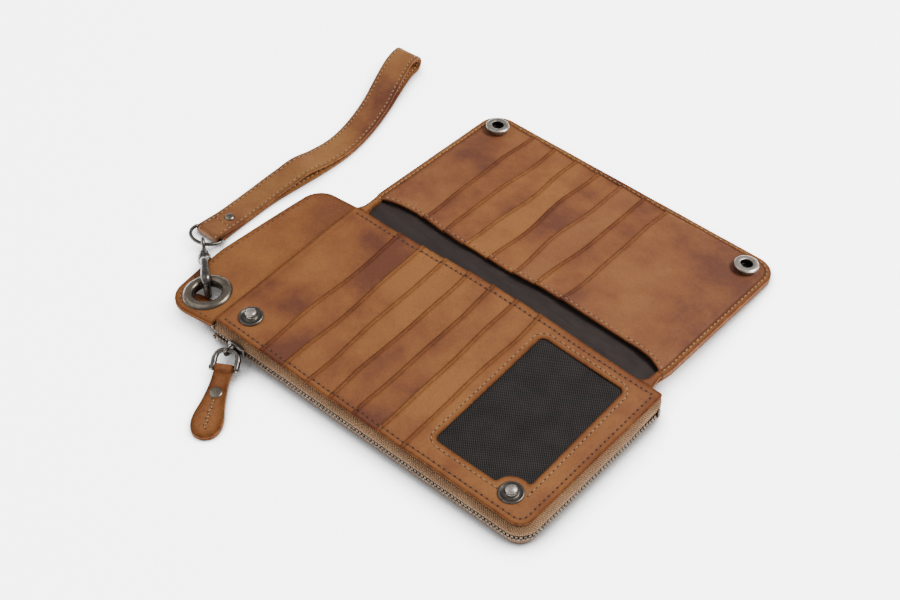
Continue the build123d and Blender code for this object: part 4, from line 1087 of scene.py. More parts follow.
tooth_v, tooth_f = tooth_shape()
tooth_path = zip_line(TOOTH_LINE)
tooth_run = along_path(tooth_path)
for name, node_name, shift, way in (("zip_teeth_upper_fine", "zip_teeth_upper", 0.0, 1),
        ("zip_teeth_lower_fine", "zip_teeth_lower", 0.5, -1)):
    parts = []
    for k in range(int((tooth_run[-1] - 2.0) / TOOTH_PITCH)):
        s = 1.0 + (k + shift) * TOOTH_PITCH
        x, y = np.interp(s, tooth_run, tooth_path[:, 0]), np.interp(s, tooth_run, tooth_path[:, 1])
        x2, y2 = np.interp(s + 0.1, tooth_run, tooth_path[:, 0]), np.interp(s + 0.1, tooth_run,
            tooth_path[:, 1])
        a = math.atan2(y2 - y, x2 - x)
        rise = max(0.0, 0.12 * (PARTED_X - x))
        v = tooth_v * [1, -1, 1]
        z = ROW_Z + way * (0.16 + rise) + way * v[:, 2]
        c, sn = math.cos(a), math.sin(a)
        parts.append((np.column_stack([x + v[:, 0] * c - v[:, 1] * sn, y + v[:, 0] * sn + v[:, 1] * c, z]),
            tooth_f))
    v, f = merge(parts)
    put(mesh_object(name, v, f, tooth_mat), "antique_zip", "body", node_name)


# stops at both ends of the teeth
parts = []
end, along = tooth_path[-1], tooth_path[-1] - tooth_path[-3]
turn = math.atan2(along[1], along[0])
for where, angle, size in ((end - 0.9 * along / np.hypot(*along), turn, (0.9, 0.75, 2.5)),
        (np.array([-96.6, -TOOTH_LINE]), 0.0, (0.8, 0.7, 1.1)),
        (np.array([-96.6, -TOOTH_LINE]), 0.0, (0.8, 0.7, -1.1))):
    sect = rounded([(-size[0], -size[1]), (size[0], -size[1]), (size[0], size[1]), (-size[0], size[1])],
        [0.3] * 4, 0.15)
    tall = abs(size[2])
    lift = 0.0 if tall > 2 else math.copysign(3.9, size[2]) * 0.95
    rings = [(-tall, 0.62), (-tall + 0.25, 0.93), (-tall + 0.6, 1.0), (tall - 0.6, 1.0), (tall - 0.25, 0.93),
        (tall, 0.62)]
    c, sn = math.cos(angle), math.sin(angle)
    v = [(where[0] + r * (x * c - y * sn), where[1] + r * (x * sn + y * c), ROW_Z + lift + z) for z, r in rings
        for x, y in sect]
    parts.append((np.array(v), swept_faces(len(rings), len(sect), turn=True)))
v, f = merge(parts)
put(mesh_object("zip_stop_blocks", v, f, tooth_mat), "antique_zip", "body", "zip_stops")

# ------------------------------------------------------------------ turned metal pieces
def turned(name, nodes, profile, place, mat, slot, body, sides=72, dark=None):
    """A lathe piece; dark(radius, height) says how much darker a point is painted: painted shade in holes and
    under pieces, and darker rims and bases.
    """
    prof = dense(profile, 0.12)
    v, f = lathe(prof, sides)
    attrs = {"edge": [dark(math.hypot(p[0], p[1]), p[2]) for p in v]} if dark else None
    ob = mesh_object(name, place(v), f, mat, attrs)
    return put(ob, slot, body, *nodes)


for side_name, sx in zip(("left", "right"), STUD_X):
    seat = 14.9 if sx < 0 else 14.92
    post = [(0.02, 0.0), (6.15, 0.0), (6.2, 0.35), (6.0, 0.75), (5.65, 0.95), (5.2, 0.92), (4.85, 0.62),
        (4.6, 0.38), (3.7, 0.34), (3.3, 0.45), (2.75, 0.95), (2.45, 1.5), (2.5, 2.1), (2.78, 2.5), (2.85, 2.8),
        (2.76, 3.15), (2.5, 3.5), (2.0, 3.82), (1.1, 4.04), (0.02, 4.1)]
    # dark: the base round the post is painted darker than the post
    turned(f"stud_{side_name}", [f"snap_stud_{side_name}"],
        rounded(post, [0.0] + [0.12] * (len(post) - 2) + [0.0], 0.06),
        lambda v, sx=sx, seat=seat: v + [sx, STUD_Y, seat], pewter, "antique", "body",
        dark=lambda r, z: (1.0 if r < 5.1 else 0.97) * (r > 2.6) * (z < 1.4))

rivet_parts = []
for sx in STUD_X:
    flange = [(0.02, 11.35), (4.35, 11.35), (4.6, 11.5), (4.55, 11.75), (4.2, 11.85), (1.85, 11.85),
        (1.85, 15.1), (0.02, 15.1)]
    v, f = lathe(dense(rounded(flange, [0, 0.1, 0.1, 0.1, 0.1, 0.15, 0.05, 0], 0.1), 0.25), 40)
    rivet_parts.append((v + [sx, STUD_Y, 0], f))
v, f = merge(rivet_parts)
put(mesh_object("stud_rivet_flanges", v, f, antique), "antique", "body", "stud_rivets")

for side_name, sx in zip(("left", "right"), STUD_X):
    w = INNER_W
    ring = [(3.15, w - 0.05), (5.7, w - 0.05), (6.1, w + 0.6), (6.2, w + 1.5), (6.5, w + 2.3), (6.35, w + 2.95),
        (5.7, w + 3.3), (4.6, w + 3.38), (3.7, w + 3.25), (3.3, w + 3.1), (3.15, w + 2.7)]
    # dark: painted shade at the socket's hole and on its lower flank, and a darker ring on its top face
    turned(f"socket_{side_name}", [f"snap_socket_{side_name}"],
        rounded(ring, [0.1, 0.15] + [0.4] * 7 + [0.3, 0.2], 0.08),
        lambda v, sx=sx: on_flap(v + [sx, SOCKET_S, 0]), pewter, "antique", "flap",
        dark=lambda r, z: 1.0 * (r < 3.4) + 0.35 * (z < INNER_W + 1.8)
        + 0.22 * math.exp(-((r - 4.3) / 0.25) ** 2))
    inner = [(0.02, w + 0.05), (1.0, w + 0.05), (1.15, w + 0.22), (1.7, w + 0.24), (1.85, w + 0.06),
        (2.9, w + 0.06), (3.1, w + 0.2), (3.12, w + 0.02), (3.12, w - 0.04), (0.02, w - 0.04)]
    # the cup inside the socket is painted dark all over: painted shade in the hole
    turned(f"socket_cup_{side_name}", [], rounded(inner, [0.0] + [0.08] * 8 + [0.0], 0.08),
        lambda v, sx=sx: on_flap(v + [sx, SOCKET_S, 0]), gunmetal, "antique", "flap", sides=40,
        dark=lambda r, z: 1.0)

outer_w = INNER_W - 1.75 - 0.7 - 0.3 - 0.35 - 0.01 - LEATHER
cap_parts = []
for sx in STUD_X:
    cap = [(0.02, outer_w - 1.15), (2.2, outer_w - 1.12), (4.4, outer_w - 0.95), (5.8, outer_w - 0.66),
        (6.45, outer_w - 0.35), (6.4, outer_w - 0.02), (1.6, outer_w - 0.02), (1.6, INNER_W - 0.1),
        (0.02, INNER_W - 0.1)]
    v, f = lathe(dense(rounded(cap, [0, 0.2, 0.3, 0.3, 0.12, 0.08, 0.05, 0.05, 0], 0.08), 0.15), 64)
    cap_parts.append((v + [sx, SOCKET_S, 0], f))
v, f = merge(cap_parts)
put(mesh_object("cap_domes", on_flap(v), f, antique), "antique", "flap", "snap_caps")

# eyelet and washer, on the drooping wing
s_eye = (EYELET_X + HALF_L) / math.cos(DROOP)
wing_x = np.array([math.cos(DROOP), 0, math.sin(DROOP)])
wing_z = np.array([-math.sin(DROOP), 0, math.cos(DROOP)])
eye_centre = np.array([-HALF_L, EYELET_Y, WING_TOP]) + s_eye * wing_x
eyelet_place = basis(eye_centre, wing_x, wing_z)
ring = [(BORE_R + 0.03, -3.1), (BORE_R + 0.02, -0.2), (BORE_R + 0.12, 0.5), (BORE_R + 0.45, 1.05),
    (BORE_R + 1.15, 1.5), (BORE_R + 2.2, 1.69), (BORE_R + 3.2, 1.66), (BORE_R + 4.2, 1.35),
    (EYELET_R - 0.55, 0.85), (EYELET_R - 0.05, 0.2), (EYELET_R, -0.06), (BORE_R + 0.8, -0.06),
    (BORE_R + 0.8, -3.1)]
# dark: painted shade under the eyelet and down its bore, and painted shade round the dome's outer rim and the
# top of its bore
turned("eyelet_dome", ["eyelet_ring"], rounded(ring, [0.1] + [0.5] * 9 + [0.04, 0.05, 0.1], 0.1), eyelet_place,
    antique, "antique", "body", sides=96,
    dark=lambda r, z: 0.75 * (z < -0.3) + 0.7 * math.exp(-((r - EYELET_R) / 0.9) ** 2)
    + 0.5 * math.exp(-((r - BORE_R) / 1.1) ** 2) * (z > -0.3))
washer = [(BORE_R + 0.82, -3.12), (EYELET_R - 0.5, -3.12), (EYELET_R - 0.4, -2.9), (EYELET_R - 0.5, -2.45),
    (BORE_R + 0.82, -2.45)]
turned("eyelet_back_washer", ["eyelet_washer"], rounded(washer, [0.1, 0.15, 0.1, 0.05, 0.05], 0.1),
    eyelet_place, antique, "antique", "body", sides=96)

# ------------------------------------------------------------------ zip slider and pull
PULL_ANGLE = math.radians(-60.0)
pull_dir = np.array([math.cos(PULL_ANGLE), math.sin(PULL_ANGLE), 0.0])
pin_dir = np.array([-pull_dir[1], pull_dir[0], 0.0])
OUTER_Y, INNER_Y = -53.95, -51.4
LUG = np.array([-82.1, -57.55, 8.25])


def slider_outline(length, height, waist):
    l, h = length / 2, height / 2
    return dense(rounded([(-l, -h + 1.4), (-l + 1.5, -h), (-0.5, -h), (l, -h + waist), (l, h - waist),
        (-0.5, h), (-l + 1.5, h), (-l, h - 1.4)], [0.9, 0.9, 3.0, 0.7, 0.7, 3.0, 0.9, 0.9], 0.15), 0.5)


def hollow(x, y):
    """The slider's face: domed, with a shallow rim."""
    return 1.3 - 0.012 * np.asarray(y) ** 2 - 0.006 * np.asarray(x) ** 2


for tag, place, grown in (("outer", basis((SLIDER_X, OUTER_Y, ZIP_Z), (1, 0, 0), (0, -1, 0)), 0.0),
                          ("inner", basis((SLIDER_X, INNER_Y, ZIP_Z), (1, 0, 0), (0, 1, 0)), -0.3)):
    out = slider_outline(10.5, 7.6 + 2 * grown, 0.9)
    ob = plate(f"slider_{tag}_plate", out, [], hollow, 1.3, 0.42, 0.5, gunmetal, place=place, edge_width=0.4,
        bottom=lambda x, y: np.zeros(np.shape(x)))
    clean(ob)
    put(ob, "gunmetal", "zip_slider")
    if tag == "outer":
        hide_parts("zip_slider")
v, f = tube([(SLIDER_X - 3.3, OUTER_Y - 0.1, ROW_Z), (SLIDER_X - 3.3, INNER_Y + 0.1, ROW_Z)], 1.0, 16,
    squash=0.10, up=(0, 0, 1))
ob = mesh_object("slider_post", v, f, gunmetal)
put(ob, "gunmetal", "zip_slider")
# arched lug over the slider's face
arch = [(LUG[0], OUTER_Y - 0.9, ZIP_Z - 2.0), (LUG[0], OUTER_Y - 2.6, ZIP_Z - 2.3),
    (LUG[0], LUG[1] - 1.3, ZIP_Z - 1.9), (LUG[0], LUG[1] - 2.2, ZIP_Z), (LUG[0], LUG[1] - 1.3, ZIP_Z + 1.9),
    (LUG[0], OUTER_Y - 2.6, ZIP_Z + 2.3), (LUG[0], OUTER_Y - 0.9, ZIP_Z + 2.0)]


def spline(points, per=8, closed=False):
    """A smooth curve through points."""
    p = [np.asarray(q, float) for q in points]
    n = len(p)
    get = (lambda i: p[i % n]) if closed else (lambda i: p[max(0, min(n - 1, i))])
    out = []
    for i in range(n if closed else n - 1):
        a, b, c, d = get(i - 1), get(i), get(i + 1), get(i + 2)
        for k in range(per):
            t = k / per
            out.append(0.5 * ((2 * b) + (c - a) * t + (2 * a - 5 * b + 4 * c - d) * t * t
                + (3 * b - a - 3 * c + d) * t ** 3))
    if not closed:
        out.append(p[-1])
    return np.array(out)


v, f = tube(spline(arch, 8), 0.95, 16, squash=0.75, up=(0, -1, 0))
ob = mesh_object("slider_lug", v, f, gunmetal)
put(ob, "gunmetal", "zip_slider")

shackle_drop = math.radians(20.0)
shackle_dir = np.array([pull_dir[0] * math.cos(shackle_drop), pull_dir[1] * math.cos(shackle_drop),
    -math.sin(shackle_drop)])
shackle_place = basis(LUG, pin_dir, np.cross(pin_dir, shackle_dir))
SHACKLE_HALF, SHACKLE_LONG = 5.8, 9.4
bow = [(-SHACKLE_HALF, SHACKLE_LONG, 0), (-SHACKLE_HALF, 6.4, 0), (-SHACKLE_HALF, 4.2, 0),
    (-SHACKLE_HALF + 0.9, 1.6, 0), (-SHACKLE_HALF + 2.9, 0.15, 0), (0, -0.05, 0), (SHACKLE_HALF - 2.9, 0.15, 0),
    (SHACKLE_HALF - 0.9, 1.6, 0), (SHACKLE_HALF, 4.2, 0), (SHACKLE_HALF, 6.4, 0),
    (SHACKLE_HALF, SHACKLE_LONG, 0)]
path = spline(bow, 8)
wide = 1.25 + 0.36 * np.clip((np.abs(path[:, 0]) - 3.6) / 2.2, 0, 1) * np.clip((path[:, 1]) / 5.0, 0, 1)
parts = [tube(path, wide, 18)]
for sx in (-SHACKLE_HALF, SHACKLE_HALF):
    knob = [(0.02, -1.1), (1.2, -1.1), (1.5, -0.85), (1.75, 0), (1.5, 0.85), (1.2, 1.1), (0.02, 1.1)]
    kv, kf = lathe(dense(rounded(knob, [0, 0.2, 0.2, 0.5, 0.2, 0.2, 0], 0.1), 0.2), 28)
    parts.append((np.column_stack([kv[:, 2] + sx, kv[:, 0] + SHACKLE_LONG, kv[:, 1]]), kf))
v, f = merge(parts)
put(mesh_object("shackle", shackle_place(v), f, gunmetal), "gunmetal", "pull_shackle", "pull_shackle")
pin_at = LUG + shackle_dir * SHACKLE_LONG
pin_prof = [(0.02, -7.6), (1.0, -7.6), (1.35, -7.3), (1.35, -6.95), (0.86, -6.9), (0.86, 6.9), (1.35, 6.95),
    (1.35, 7.3), (1.0, 7.6), (0.02, 7.6)]
turned("shackle_pin", ["pull_pin"], rounded(pin_prof, [0, 0.15, 0.15, 0.05, 0.05, 0.05, 0.05, 0.15, 0.15, 0],
    0.1), basis(pin_at, (0, 0, 1), pin_dir), gunmetal, "gunmetal", "pull_shackle", sides=28)

PULL_LEN, PULL_T, NECK, END, PULL_RIVET_X = 41.0, 2.6, 9.0, 15.5, 15.0
pull_drop = math.atan2(pin_at[2] - PULL_T / 2 - 0.45, PULL_LEN)
leather_dir = np.array([pull_dir[0] * math.cos(pull_drop), pull_dir[1] * math.cos(pull_drop),
    -math.sin(pull_drop)])
pull_up = np.cross(leather_dir, pin_dir)
pull_up = pull_up if pull_up[2] > 0 else -pull_up
pull_place = basis(pin_at, leather_dir, pull_up)
half_out = spline([(2.6, -NECK / 2), (10.0, -NECK / 2 - 0.1), (20.0, -NECK / 2 - 1.3), (29.0, -END / 2 + 0.15),
    (35.0, -END / 2 + 0.55), (39.3, -4.6), (PULL_LEN, 0)], 10)
tag = np.vstack([half_out, (half_out * [1, -1])[::-1][1:]])


def tag_height(x, y):
    """The leather pull's upper face."""
    x, y = np.atleast_1d(x).astype(float), np.atleast_1d(y).astype(float)
    d = distance(np.column_stack([x.ravel(), y.ravel()]), tag).reshape(x.shape)
    mid = np.where(x > 19, 0.16 * np.exp(-(y / 0.9) ** 2), 0)
    return ((PULL_T / 2 - 0.04) - 0.22 * np.exp(-(d / 0.8) ** 2) - mid + 0.06 * np.sin(x / 3.1)
        + 0.25 * np.exp(-((x - 2.6) / 2.6) ** 2))


for tag_name, lift in (("upper", 0.0), ("lower", -1.32)):
    ob = plate(f"pull_tag_{tag_name}", dense(tag, 0.6),
        [np.array([(PULL_RIVET_X + 1.5 * math.cos(a), 1.5 * math.sin(a))
        for a in np.linspace(0, -2 * math.pi, 24, endpoint=False)])],
        lambda x, y, lift=lift: tag_height(x, y) + lift, 1.26, 0.42, 0.7, leather_pull, place=pull_place,
        edge_width=2.2)
    put(ob, "leather_strap", "zip_pull")
    if tag_name == "upper":
        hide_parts("pull_leather")
# the fold round the pin
a = np.linspace(math.radians(28), math.radians(332), 30)
fold_out = np.column_stack([2.35 * np.cos(a), 2.35 * np.sin(a)])
fold_in = np.column_stack([1.02 * np.cos(a), 1.02 * np.sin(a)])
sect = np.vstack([[(3.4, 1.22)], fold_out, [(3.4, -1.28)], [(3.4, -0.1)], fold_in[::-1], [(3.4, 0.05)]])
ys = np.linspace(-NECK / 2 + 0.05, NECK / 2 - 0.05, 9)
shrink = [0.93, 0.985, 1, 1, 1, 1, 1, 0.985, 0.93]
verts = [((x * s), y, (z * s)) for y, s in zip(ys, shrink) for x, z in sect]
m = len(sect)
faces = swept_faces(len(ys), m, caps="turned", turn=True)
ob = mesh_object("pull_fold", pull_place(np.array(verts)), faces, leather_pull,
    {"edge": [0.9 if (k in (0, m - 1) or i in (0, 8)) else 0.15 for i in range(9) for k in range(m)]})
put(ob, "leather_strap", "zip_pull")
# zigzag stitches down the wide end
zig, side_sign = [], 1
for x in np.arange(19.6, 36.5, 1.9):
    zig.append(stitch_row([(x - 0.85, -0.75 * side_sign), (x + 0.85, 0.75 * side_sign)], tag_height, 2.27, 1.7,
        0.30, 0.14))
    side_sign = -side_sign
sew("pull_seam", zig, thread_tan, "zip_pull", place=pull_place, slot="leather_strap")
rivet = [(0.02, 1.70), (1.6, 1.66), (2.7, 1.50), (3.2, 1.25), (3.15, 1.12), (1.45, 1.10), (1.45, -1.36),
    (3.0, -1.38), (2.9, -1.62), (0.02, -1.72)]
# dark: the rim of the rivet head is painted darker
turned("pull_rivet_head", ["pull_rivet"],
    rounded(rivet, [0, 0.3, 0.3, 0.12, 0.05, 0.05, 0.05, 0.1, 0.15, 0], 0.08),
    lambda v: pull_place(v + [PULL_RIVET_X, 0, 0]), antique, "antique", "zip_pull", sides=48,
    dark=lambda r, z: 0.5 * math.exp(-((r - 3.2) / 0.3) ** 2))

# ------------------------------------------------------------------ clasp
CLASP_ANGLE = math.radians(139.7)
out_dir = np.array([math.cos(CLASP_ANGLE), math.sin(CLASP_ANGLE), 0])
drop = math.radians(4.0)
clasp_x = np.array([out_dir[0] * math.cos(drop), out_dir[1] * math.cos(drop), -math.sin(drop)])
clasp_side = np.cross(out_dir, [0, 0, 1])
clasp_pivot = (eye_centre + np.array([out_dir[0], out_dir[1], math.tan(DROOP) * out_dir[0]])
    * (BORE_R + EYELET_R) / 2 - np.array([0, 0, 0.7]))
clasp_place = basis(clasp_pivot, clasp_x, clasp_side)
BARREL_Y, GATE_PIN = -1.5, (13.4, -6.1)
hook = spline([(-4.9, -7.3, 0), (-4.75, -4.0, 0), (-4.7, 0.2, 0), (-4.3, 2.7, 0), (-2.6, 4.15, 0),
    (0.5, 4.3, 0), (5.0, 4.2, 0), (9.5, 3.9, 0), (12.2, 2.8, 0), (14.0, 0.9, 0), (16.0, -0.7, 0)], 8)
width = (1.50 + 0.40 * np.exp(-((hook[:, 0] + 1.0) / 4.5) ** 2) * (hook[:, 1] > 1)
    + 0.5 * np.clip((hook[:, 0] - 9.5) / 6, 0, 1))
width[:3] *= [0.72, 0.9, 0.97]
parts = [tube(hook, width, 20, squash=1.32, up=(0, 0, 1))]
barrel = [(0.95, 14.8), (2.2, 14.7), (3.05, 15.2), (3.6, 16.2), (3.6, 18.9), (3.1, 19.4), (2.35, 19.8),
    (2.35, 20.4), (2.6, 20.7), (2.6, 21.1), (2.3, 21.4), (1.02, 21.4)]
bv, bf = lathe(dense(rounded(barrel, [0.1, 0.25, 0.4, 0.6, 0.35, 0.25, 0.2, 0.12, 0.15, 0.15, 0.15, 0.05], 0.1),
    0.25), 48)
parts.append((np.column_stack([bv[:, 2], bv[:, 0] + BARREL_Y, bv[:, 1]]), bf))
v, f = merge(parts)
put(mesh_object("clasp_hook_body", clasp_place(v), f, gunmetal), "gunmetal", "clasp", "clasp_hook")
lug_out = [(14.8, -2.1), (19.0, -3.4), (16.0, -7.5), (12.5, -7.7), (11.6, -6.0), (12.5, -4.3)]
for z0, z1, tag_name in ((1.2, 2.3, "near"), (-2.3, -1.2, "far")):
    ob = plate(f"clasp_cheek_{tag_name}", dense(rounded(lug_out, [0.6, 1.2, 1.2, 1.2, 0.8, 0.6], 0.2), 0.5), [],
        level(z1), z1 - z0, 0.3, 0.7, gunmetal, place=clasp_place)
    clean(ob)
    put(ob, "gunmetal", "clasp")
gate = [(-3.5, -6.35), (-3.3, -5.85), (3.0, -5.6), (10.6, -5.35), (13.4, -4.75), (14.7, -6.0), (13.5, -7.45),
    (10.6, -7.35), (3.0, -7.5), (-3.0, -7.4)]
ob = plate("clasp_gate_lever", dense(rounded(gate, [0.25, 0.3, 1, 1, 1.0, 1.0, 1.0, 1, 1, 0.4], 0.2), 0.5), [],
    lambda x, y: np.where(np.asarray(x) > 10.7, 0.6, 1.1), 1.5, 0.25, 0.6, gunmetal, place=clasp_place,
    bottom=lambda x, y: np.where(np.asarray(x) > 10.7, -0.6, -1.1))
clean(ob)
put(ob, "gunmetal", "clasp_gate", "clasp_gate")
pin_section = [(0.02, -2.55), (0.5, -2.55), (0.56, -2.45), (0.56, 2.45), (0.5, 2.55), (0.02, 2.55)]
turned("clasp_pin", ["clasp_gate_pin"], pin_section, lambda v: clasp_place(v + [GATE_PIN[0], GATE_PIN[1], 0]),
    gunmetal, "gunmetal", "clasp", sides=20)
coil = []
for zc in (0.87, -0.87):
    t = np.linspace(0, 2 * math.pi * 1.5, 40)
    coil.append(tube(np.column_stack([GATE_PIN[0] + 0.95 * np.cos(t), GATE_PIN[1] + 0.95 * np.sin(t),
        zc + (t / t[-1] - 0.5) * 0.4]), 0.14, 8))
v, f = merge(coil)
put(mesh_object("clasp_coil", clasp_place(v), f, pewter), "spring_steel", "clasp", "clasp_gate_spring")
EYE_AT = 29.0
swivel = [(0.02, 16.2), (1.9, 16.2), (1.9, 17.4), (0.92, 17.6), (0.92, 21.6), (1.9, 21.7), (2.25, 22.1),
    (2.2, 22.8), (1.6, 23.3), (1.3, 24.6), (1.4, 25.6), (0.02, 25.6)]
sv, sf = lathe(dense(rounded(swivel, [0, 0.1, 0.1, 0.05, 0.1, 0.2, 0.2, 0.3, 0.4, 0.6, 0.2, 0], 0.1), 0.25), 36)
parts = [(np.column_stack([sv[:, 2], sv[:, 0] + BARREL_Y, sv[:, 1]]), sf)]
t = np.linspace(0, 2 * math.pi, 56, endpoint=False)
eye = np.column_stack([EYE_AT + 3.35 * np.cos(t), BARREL_Y + 3.3 * np.sin(t), np.zeros(56)])
parts.append(tube(eye, 0.92, 18, closed=True, up=(0, 0, 1)))
v, f = merge(parts)
put(mesh_object("clasp_swivel_eye", clasp_place(v), f, gunmetal), "gunmetal", "clasp_swivel", "clasp_swivel")

# ------------------------------------------------------------------ strap ring and strap
STRAP_X, BAR_Y, BAR_Z = -150.6, -3.6, 2.75
ring_tilt = math.radians(14.0)
ring_place = basis((STRAP_X, BAR_Y, BAR_Z), (1, 0, 0), (0, -math.sin(ring_tilt), -math.cos(ring_tilt)))
RING_R, RING_CORNER = 9.2, 1.6
ring_pts = [(-RING_R + RING_CORNER, 0), (RING_R - RING_CORNER, 0)]
ring_pts += [(RING_R - RING_CORNER + RING_CORNER * math.cos(t), RING_CORNER + RING_CORNER * math.sin(t))
    for t in np.linspace(-math.pi / 2, 0, 8)[1:]]
ring_pts += [(RING_R * math.cos(t), RING_CORNER + RING_R * math.sin(t))
    for t in np.linspace(0, math.pi, 40)[1:]]
ring_pts += [(-RING_R + RING_CORNER + RING_CORNER * math.cos(t), RING_CORNER + RING_CORNER * math.sin(t))
    for t in np.linspace(math.pi, 1.5 * math.pi, 8)[1:-1]]
loop = dense([(x, y, 0) for x, y in ring_pts], 0.8)
v, f = tube(loop, 1.0, 18, closed=True, up=(0, 0, 1))
ob = mesh_object("strap_ring_wire", ring_place(v), f, gunmetal)
put(ob, "gunmetal", "strap_ring", "strap_ring")

STRAP_W, STRAP_T, STRAP_SEAM = 15.5, 1.6, 1.9
route = [(STRAP_X, -10.0), (STRAP_X, BAR_Y), (STRAP_X, 15.0), (-150.0, 36.0), (-147.6, 55.0), (-145.2, 73.0),
    (-144.4, 90.0), (-146.6, 108.0), (-151.5, 127.0), (-157.5, 145.0), (-162.0, 160.0), (-163.2, 173.0)]
route_fine = spline(route, 16)
upper_top = [(BAR_Y, 5.48), (4.0, 4.3), (12.0, 3.4), (32.0, 3.4), (48.0, 5.4), (61.0, 7.2), (74.0, 5.2),
    (90.0, 3.7), (108.0, 3.8), (128.0, 5.0), (148.0, 8.4), (162.0, 10.0), (166.0, 10.0)]
upper_fine = spline(upper_top, 12)


def strap_x(y):
    return np.interp(y, route_fine[:, 1], route_fine[:, 0])


mid_line = []
for a in np.radians(np.arange(88, -92, -12)):
    mid_line.append((BAR_Y - 1.93 * math.cos(a), BAR_Z + 1.93 * math.sin(a)))
low_run = [(y, STRAP_T / 2 + 0.03) for y in np.arange(0.0, 165.0, 2.5)]
far_arc = [(166.0 + 4.2 * math.cos(a), 5.0 + 4.2 * math.sin(a)) for a in np.radians(np.arange(-90, 91, 10))]
top_run = [(y, np.interp(y, upper_fine[:, 0], upper_fine[:, 1]) - STRAP_T / 2)
    for y in np.arange(163.0, -2.0, -2.0)]
profile = np.vstack([sorted(mid_line, key=lambda p: -p[1]), low_run, far_arc, top_run])
centre = dense([(strap_x(y), y, z) for y, z in profile], 1.2)
t3 = np.roll(centre, -1, 0) - np.roll(centre, 1, 0)
t3 /= np.linalg.norm(t3, axis=1, keepdims=True)
plan_t = np.column_stack([np.interp(centre[:, 1], route_fine[:, 1],
    np.gradient(route_fine[:, 0]) / np.gradient(route_fine[:, 1])), np.ones(len(centre)),
    np.zeros(len(centre))])
plan_t /= np.linalg.norm(plan_t, axis=1, keepdims=True)
across = np.column_stack([plan_t[:, 1], -plan_t[:, 0], np.zeros(len(centre))])
outward = np.cross(t3, across)
outward /= np.linalg.norm(outward, axis=1, keepdims=True)
hw, ht, rr = STRAP_W / 2, STRAP_T / 2 - 0.02, 0.5
sec = []
for k in np.linspace(-hw + rr, hw - rr, 27):
    d = hw - abs(k)
    sec.append((k, ht - 0.16 * math.exp(-((d - STRAP_SEAM) / 0.55) ** 2)
        - 0.05 * math.exp(-((d - 0.3) / 0.5) ** 2)))
arc1 = [(hw - rr + rr * math.sin(t), ht - rr + rr * math.cos(t)) for t in np.linspace(0.3, math.pi / 2, 4)]
arc2 = [(hw - rr + rr * math.cos(t), -ht + rr - rr * math.sin(t)) for t in np.linspace(0.1, math.pi / 2, 4)]
bottom_line = [(k, -ht) for k in np.linspace(hw - rr - 0.4, -hw + rr + 0.4, 7)]
sec = sec + arc1 + arc2 + bottom_line + [(-x, y) for x, y in arc2[::-1]] + [(-x, y) for x, y in arc1[::-1]]
m = len(sec)
verts, edge = [], []
for i in range(len(centre)):
    for k, (x, y) in enumerate(sec):
        verts.append(centre[i] + across[i] * x + outward[i] * y)
        edge.append(math.exp(-((hw - abs(x)) / 0.8) ** 1.5))
faces = swept_faces(len(centre), m, closed=True)
ob = mesh_object("strap_band", verts, faces, leather_strap, {"edge": edge})
put(ob, "leather_strap", "strap", "strap_leather")

# strap stitches follow both edges of the band on its outer face
run3 = np.concatenate([[0], np.cumsum(np.linalg.norm(np.diff(centre, axis=0), axis=1))])
threads, holes, twist = [], [], []
for sign, way in ((-1, 1), (1, 1), (-1, -1), (1, -1)):
    n = int(run3[-1] / 3.0)
    for i in range(n):
        s0 = (i + 0.5) * run3[-1] / n
        s = s0 + np.linspace(-0.95, 0.95, STITCH_POINTS)
        c = np.column_stack([np.interp(s, run3, centre[:, q]) for q in range(3)])
        ac = np.column_stack([np.interp(s, run3, across[:, q]) for q in range(3)])
        ou = way * np.column_stack([np.interp(s, run3, outward[:, q]) for q in range(3)])
        if way < 0 and 0.5 * (c[0, 1] + c[-1, 1]) < 40:
            continue
        tt = np.linspace(-1, 1, STITCH_POINTS)
        p = (c + ac * (sign * (hw - STRAP_SEAM))
            + ou * (ht - (0.12 if way > 0 else 0.0) + 0.10 - 0.40 * np.abs(tt) ** 3)[:, None])
        threads.append(tube(p, 0.30 * (1 - 0.35 * np.abs(tt) ** 3), STITCH_SIDES))
        ang = np.tile(np.linspace(0, 1, STITCH_SIDES, endpoint=False), STITCH_POINTS)
        twist.append(ang + np.repeat(s - s[0], STITCH_SIDES) * TWIST)
        for e in (0, -1):
            hv, hf = hole_template
            d = t3[min(len(t3) - 1, int(np.searchsorted(run3, s[e])))]
            local = basis(c[e] + ac[e] * (sign * (hw - STRAP_SEAM)) + d * (0.25 if e == -1 else -0.25)
                + ou[e] * (ht - (0.16 if way > 0 else 0.0)), ac[e], ou[e])
            holes.append((local(hv * [0.8, 0.8, 1.0]), hf))
v, f = merge(threads)
put(mesh_object("strap_thread", v, f, thread_tan, {"twist": np.concatenate(twist)}), "leather_strap", "strap")
v, f = merge(holes)
put(mesh_object("strap_holes", v, f, needle_hole_shade_mat), "leather_strap", "strap")
near_rows = [stitch_row([(STRAP_X - 5.6, 5.2), (STRAP_X + 5.6, 5.2)],
    lambda x, y: np.interp(np.atleast_1d(y), upper_fine[:, 0], upper_fine[:, 1]) - 0.02, 2.9, 1.8, 0.28, 0.06)]
sew("strap_cross_seam", near_rows, thread_tan, "strap", slot="leather_strap")
strap_rivet = [(0.02, 4.75), (0.9, 4.68), (1.9, 4.42), (2.55, 4.0), (2.75, 3.62), (2.7, 3.4), (1.25, 3.4),
    (1.25, 0.3), (0.02, 0.3)]
# dark: the rim of the rivet head is painted darker
turned("strap_rivet_head", ["strap_rivet"],
    rounded(strap_rivet, [0, 0.5, 0.6, 0.4, 0.15, 0.08, 0.05, 0.1, 0], 0.08), lambda v: v + [STRAP_X, 10.5, 0],
    antique, "antique", "strap", sides=48, dark=lambda r, z: 0.5 * math.exp(-((r - 2.75) / 0.3) ** 2))

